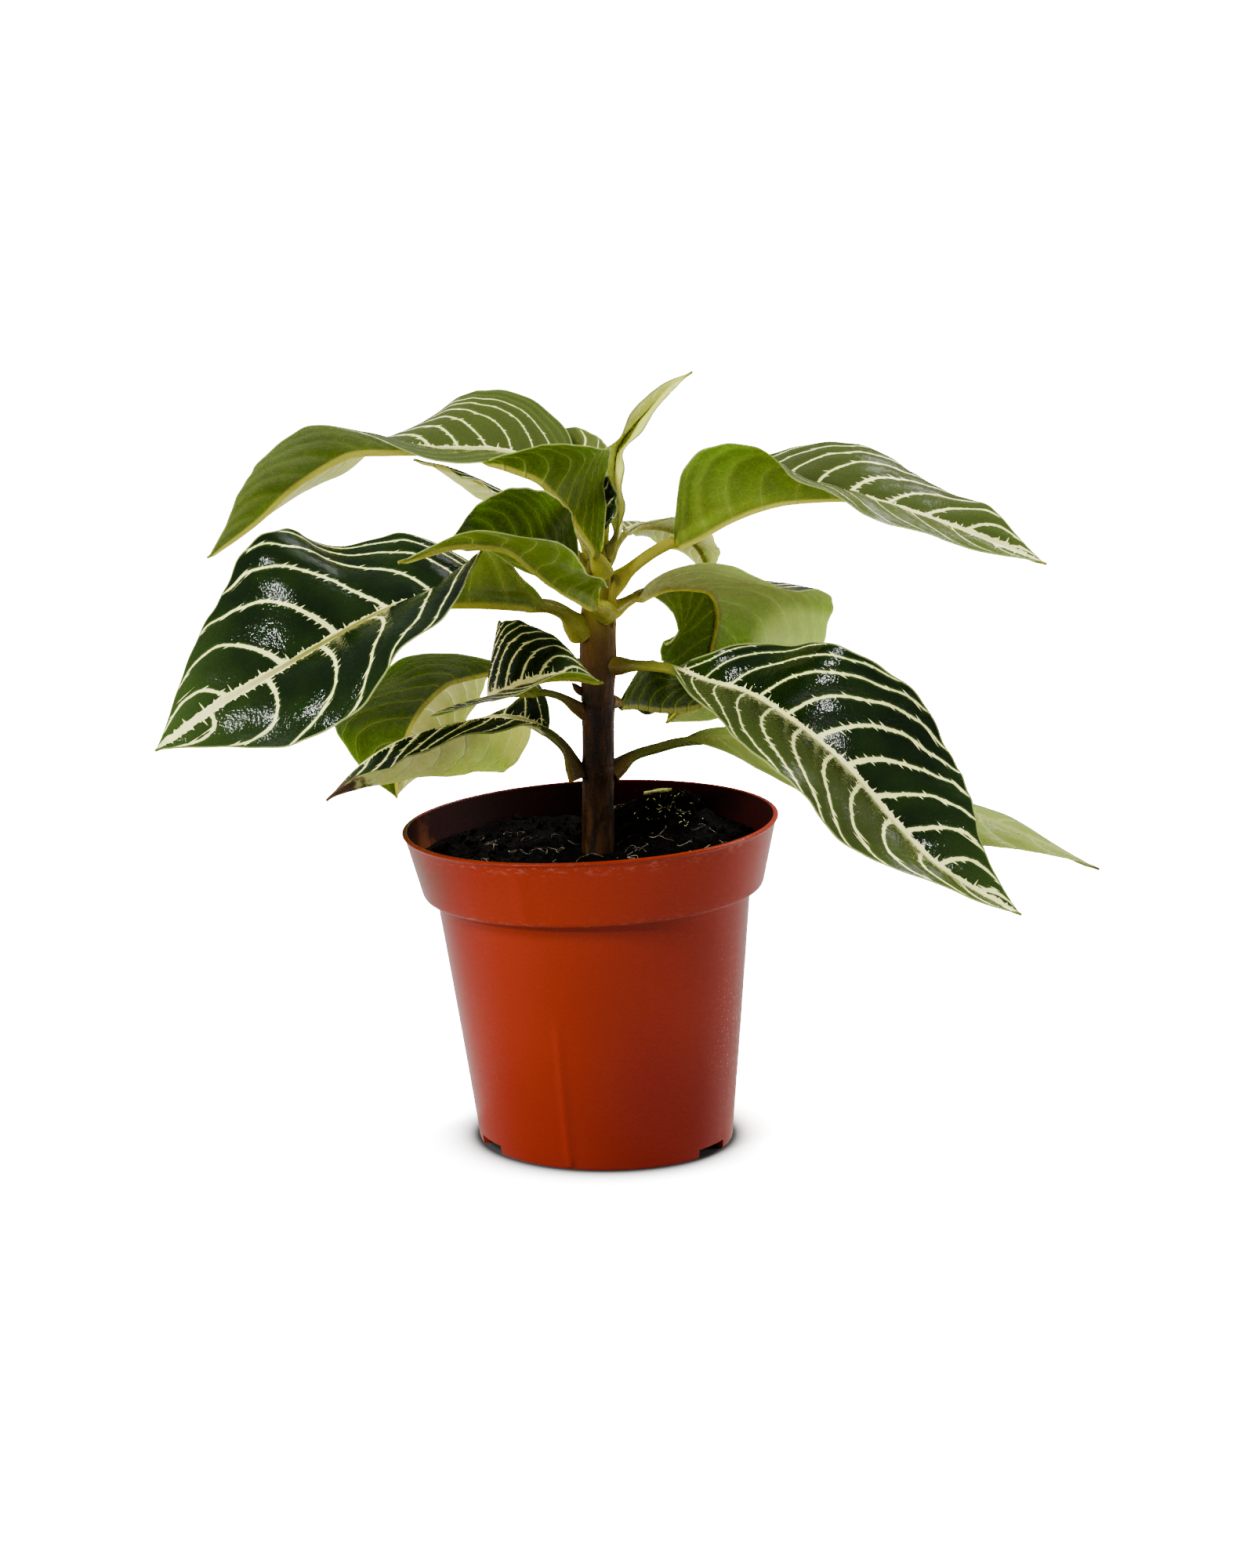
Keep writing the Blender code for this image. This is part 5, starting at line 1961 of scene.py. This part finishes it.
    def crumb_shapes(self, draw: random.Random) -> list:
        """Shapes loose angular crumbs that lie on the top.

        Args:
            draw: Source of the random numbers.

        Returns:
            Vertices and faces of each crumb.
        """
        bm = bmesh.new()
        bmesh.ops.create_icosphere(bm, subdivisions=1, radius=1.0)
        bm.verts.ensure_lookup_table()
        ball = [vertex.co.copy() for vertex in bm.verts]
        faces = [tuple(vertex.index for vertex in face.verts) for face in bm.faces]
        bm.free()
        shapes = []
        for _ in range(self.crumbs):
            x, y = self.scattered(draw, 3.0)
            size = self.crumb_least + self.crumb_more * draw.random() ** 3
            z = self.level(x) + self.relief(x, y) + size * 0.25
            turn = Matrix.Rotation(draw.uniform(0, 6.3), 3, Vector((draw.random(), draw.random(), 0.5)))
            shift = Vector((draw.uniform(0, 50), draw.uniform(0, 50), 0.0))
            flat = Vector((1.0, draw.uniform(0.6, 1.0), draw.uniform(0.4, 0.8)))
            points = []
            for corner in ball:
                lump = 1.0 + self.crumb_lump * noise.noise(corner * 1.4 + shift)
                spot = turn @ Vector((corner.x * flat.x, corner.y * flat.y, corner.z * flat.z)) * size * lump
                points.append((x + spot.x, y + spot.y, z + spot.z))
            shapes.append((points, faces))
        return shapes

    def fibre_shapes(self, draw: random.Random) -> list:
        """Shapes fine curly fibres that lie across the crumbs.

        Args:
            draw: Source of the random numbers.

        Returns:
            Vertices and faces of each fibre.
        """
        shapes = []
        for _ in range(self.fibres):
            x, y = self.scattered(draw, 9.0)
            heading = draw.uniform(0.0, FULL_TURN)
            curl = draw.uniform(-self.fibre_curl, self.fibre_curl)
            steps = draw.randint(*self.fibre_steps)
            thick = draw.uniform(*self.fibre_radius)
            hump = draw.uniform(*self.fibre_hump)
            points = []
            for step in range(steps):
                lift = hump * sin(pi * step / (steps - 1))
                points.append((x, y, self.level(x) + self.relief(x, y) + self.fibre_lift + lift))
                heading += curl + draw.uniform(-self.fibre_bend, self.fibre_bend)
                x += self.fibre_step * cos(heading)
                y += self.fibre_step * sin(heading)
            centre = np.array(points)
            for _ in range(self.fibre_smoothing):
                centre[1:-1] = (centre[:-2] + 2.0 * centre[1:-1] + centre[2:]) / 4.0
            shapes.append(tube(centre, np.linspace(thick, thick * 0.5, steps), self.thread_sides))
        return shapes

    def bit_shapes(self, draw: random.Random) -> list:
        """Shapes short dry bits on the front of the mound.

        Args:
            draw: Source of the random numbers.

        Returns:
            Vertices and faces of each bit.
        """
        shapes = []
        for _ in range(self.bits):
            x = self.mound_place[0] + draw.gauss(self.bit_place[0], self.bit_scatter)
            y = self.mound_place[1] + draw.gauss(self.bit_place[1], self.bit_scatter)
            heading = draw.uniform(0.0, FULL_TURN)
            reach = draw.uniform(*self.bit_reach)
            dx = reach * cos(heading)
            dy = reach * sin(heading)
            ends = [(x + k * dx, y + k * dy) for k in (-1, 0, 1)]
            centre = [(a, b, self.level(a) + self.relief(a, b) + self.bit_lift) for a, b in ends]
            radii = [self.bit_ends[0], draw.uniform(*self.bit_radius), self.bit_ends[1]]
            shapes.append(tube(np.array(centre), np.array(radii), self.thread_sides))
        return shapes

    def build(self, peat: Material, fibre: Material,
              dry: Material) -> Thing:
        """Adds the fill, its crumbs, its fibres and the dry bits.

        Args:
            peat: Finish of the fill and crumbs.
            fibre: Finish of the fibres.
            dry: Finish of the dry bits.

        Returns:
            The fill.
        """
        draw = random.Random(self.seed)
        fill = add_piece("soil_visual", self.body(), [peat], "soil", sharp_angle=180.0)
        crumbs = join_shapes("crumbs", self.crumb_shapes(draw))
        add_piece("soil_crumbs", crumbs, [peat], sharp_angle=30.0)
        add_piece("soil_fibres", join_shapes("fibres", self.fibre_shapes(draw)), [fibre])
        add_piece("soil_bits", join_shapes("bits", self.bit_shapes(draw)), [dry])
        return fill


@dataclass
class Scrap:
    """Dry curled scrap of leaf that lies on the soil's mound. Lengths are in mm."""
    length: float = 10.0
    width: float = 3.2
    narrowest: float = 0.35
    place: tuple = (21.0, 46.0)
    turn: float = 8.0
    rise: float = 1.2
    cup: float = 0.85
    ragged: float = 0.12
    clear: float = 0.1
    thick: float = 0.35
    rows: int = 28
    columns: int = 9

    def build(self, soil: Thing, dry: Material) -> None:
        """Adds the scrap on the highest spot of the soil under it.

        Args:
            soil: The soil's piece.
            dry: The scrap's finish.
        """
        ground = BVHTree.FromObject(soil, bpy.context.evaluated_depsgraph_get())
        turn = radians(self.turn)
        plan = []
        base = 0.0
        for i in range(self.rows):
            share = i / (self.rows - 1)
            half = max(self.narrowest, self.width / 2 * sin(pi * min(0.95, share + 0.05)))
            half *= 1.0 + self.ragged * sin(17.0 * share)
            along = (share - 0.5) * self.length
            for j in range(self.columns):
                u = 2.0 * j / (self.columns - 1) - 1.0
                across = u * half
                x = self.place[0] + along * cos(turn) - across * sin(turn)
                y = self.place[1] + along * sin(turn) + across * cos(turn)
                cupped = self.cup * u * u + self.ragged * sin(9.0 * share + 2.0 * u)
                rise = cupped + self.rise * share
                hit = ground.ray_cast(Vector((x, y, 200.0)) * MM, Vector((0.0, 0.0, -1.0)))[0]
                base = max(base, hit.z / MM + self.clear - rise)
                plan.append((x, y, rise))
        lower = [(x, y, base + z) for x, y, z in plan]
        upper = [(x, y, base + z + self.thick) for x, y, z in plan]
        size = len(plan)
        faces = grid_faces(self.rows, self.columns, flip=True)
        faces += grid_faces(self.rows, self.columns, start=size)
        border = [*range(self.columns), *range(2 * self.columns - 1, size, self.columns),
                  *range(size - 2, size - self.columns - 1, -1),
                  *range(size - 2 * self.columns, 0, -self.columns)]
        for here, after in zip(border, border[1:] + border[:1]):
            faces.append((here, after, after + size, here + size))
        mesh = join_shapes("leaf_scrap", [(upper + lower, faces)])
        add_piece("leaf_scrap_visual", mesh, [dry], "leaf_scrap")


@dataclass(frozen=True)
class Softbox:
    """A square lamp that looks at the plant, in metres and watts."""
    name: str
    place: Point
    size: float
    power: float
    tint: Colour = WHITE
    mirrored: bool = True
    target: Point = (0.0, 0.0, 0.17)

    def build(self) -> None:
        """Adds the lamp, which shows in glossy surfaces if it is mirrored."""
        lamp = bpy.data.lights.new(self.name, "AREA")
        lamp.size = self.size
        lamp.energy = self.power
        lamp.color = self.tint
        holder = put(self.name, lamp)
        holder.location = self.place
        holder.visible_glossy = self.mirrored
        aim = Vector(self.target) - Vector(self.place)
        holder.rotation_euler = aim.to_track_quat("-Z", "Y").to_euler()


@dataclass
class Studio:
    """Pale floor that looks white but for a painted dark contact shadow where the pot stands, surround, soft
    lamps and camera.

    Lengths are in metres and powers in watts.
    """
    floor_size: float = 60.0
    floor_bounce: float = 0.42
    floor_seen: float = 7.0
    floor_glow: Ramp = (0.5, 3.0, 4.5, 25.0)
    painted_shadow_place: Point = (0.0028, 0.0, 0.0)
    painted_shadow_reach: Ramp = (0.0445, 0.066)
    floor_painted_shadow: float = 0.04
    surround: float = 0.3
    backdrop: float = 45.0
    camera_place: Point = (0.010, -1.4616, 0.4504)
    camera_tilt: float = 77.48
    lens: float = 124.2
    sensor: float = 36.0
    farthest: float = 100.0
    lamps: tuple = (
        Softbox("key", (0.70, 0.85, 1.25), 0.45, 50.0, (1.0, 0.97, 0.91), mirrored=False),
        Softbox("key_glint", (0.70, 0.85, 1.25), 0.13, 16.0),
        Softbox("front", (-0.75, -1.0, 1.30), 0.45, 42.0, mirrored=False),
        Softbox("front_glint", (-0.9, -1.1, 0.80), 0.15, 26.0),
        Softbox("rim", (1.1, 0.15, 0.45), 0.35, 8.0, (1.0, 0.96, 0.9)),
        Softbox("low_left", (-1.1, 0.1, 0.10), 0.30, 16.0, (1.0, 0.85, 0.68), mirrored=False),
        Softbox("low_right", (1.1, 0.35, 0.10), 0.30, 12.0, (1.0, 0.85, 0.68), mirrored=False),
    )

    def floor_finish(self) -> Material:
        """Builds the floor's material, which glows for the camera alone, with a painted contact shadow round
        the pot's foot.

        Returns:
            The material.
        """
        pen = NodePen("floor")
        spot = pen.add("ShaderNodeVectorMath", operation="DISTANCE")
        pen.feed(spot.inputs[0], pen.place())
        pen.feed(spot.inputs[1], self.painted_shadow_place)
        away = spot.outputs["Value"]
        direct = pen.add("ShaderNodeLightPath").outputs["Is Camera Ray"]
        # Painted shadow: for the camera the floor round the pot's foot is darkened and loses its glow.
        seen = pen.times(direct, pen.ramp(away, *self.painted_shadow_reach))
        shaded = pen.mix(direct, (self.floor_bounce,) * 3, (self.floor_painted_shadow,) * 3)
        white = pen.mix(seen, shaded, (self.floor_seen,) * 3)
        glow = pen.times(seen, pen.ramp(away, *self.floor_glow))
        return pen.surface(Base_Color=white, Roughness=1.0, Specular_IOR_Level=0.0,
                              Emission_Color=WHITE, Emission_Strength=glow)

    def add_floor(self) -> None:
        """Adds the floor."""
        bm = bmesh.new()
        bmesh.ops.create_grid(bm, x_segments=1, y_segments=1, size=self.floor_size / 2)
        mesh = bpy.data.meshes.new("floor")
        bm.to_mesh(mesh)
        bm.free()
        mesh.materials.append(self.floor_finish())
        put("floor", mesh)

    def add_surround(self) -> None:
        """Adds the white surround, which is brighter for the camera than for the plant."""
        world = bpy.data.worlds.new("surround")
        world.use_nodes = True
        tree = world.node_tree
        sky = tree.nodes["Background"]
        sky.inputs["Color"].default_value = (*WHITE, 1.0)
        level = tree.nodes.new("ShaderNodeMapRange")
        level.inputs["To Min"].default_value = self.surround
        level.inputs["To Max"].default_value = self.backdrop
        path = tree.nodes.new("ShaderNodeLightPath")
        tree.links.new(path.outputs["Is Camera Ray"], level.inputs["Value"])
        tree.links.new(level.outputs[0], sky.inputs["Strength"])
        bpy.context.scene.world = world

    def add_camera(self) -> None:
        """Adds the camera, which looks along +Y and a little down."""
        view = bpy.data.cameras.new("camera")
        view.lens = self.lens
        view.sensor_width = self.sensor
        view.sensor_fit = "HORIZONTAL"
        view.clip_end = self.farthest
        camera = put("camera", view)
        camera.location = self.camera_place
        camera.rotation_euler = (radians(self.camera_tilt), 0.0, 0.0)
        bpy.context.scene.camera = camera

    def build(self) -> None:
        """Adds the floor, the surround, the lamps and the camera."""
        self.add_floor()
        self.add_surround()
        for lamp in self.lamps:
            lamp.build()
        self.add_camera()


def main() -> None:
    """Builds and dresses every piece, then the studio."""
    logging.basicConfig(level=logging.INFO, format="%(message)s")
    peat = Grainy("peat_soil", (0.0005, 0.0004, 0.0003), (0.010, 0.0065, 0.004), 600.0,
                  light_ramp=(0.5, 0.78)).material()
    fibre = Grainy("pale_fibre", (0.07, 0.05, 0.03), (0.50, 0.43, 0.32), 500.0, 0.8, 0.0002).material()
    # The dry colours are near white: partly the scrap's own pale straw colour and partly painted light that
    # offsets the shade it lies in.
    dry = Grainy("dry_leaf", (0.80, 0.85, 0.28), (1.0, 1.0, 0.55), 260.0, 0.6, 0.0004).material()
    bark = StemSkin().material()
    top = LeafTop().material()
    under = LeafUnder().material()

    pot = Pot()
    pot.build(MouldedPlastic().material())
    fill = Soil(pot).build(peat, fibre, dry)
    Scrap().build(fill, dry)
    stem = Stem()
    stem.build(bark)
    for leaf in LEAVES:
        leaf.build(stem, top, under)
    Studio().build()


if __name__ == "__main__":
    main()
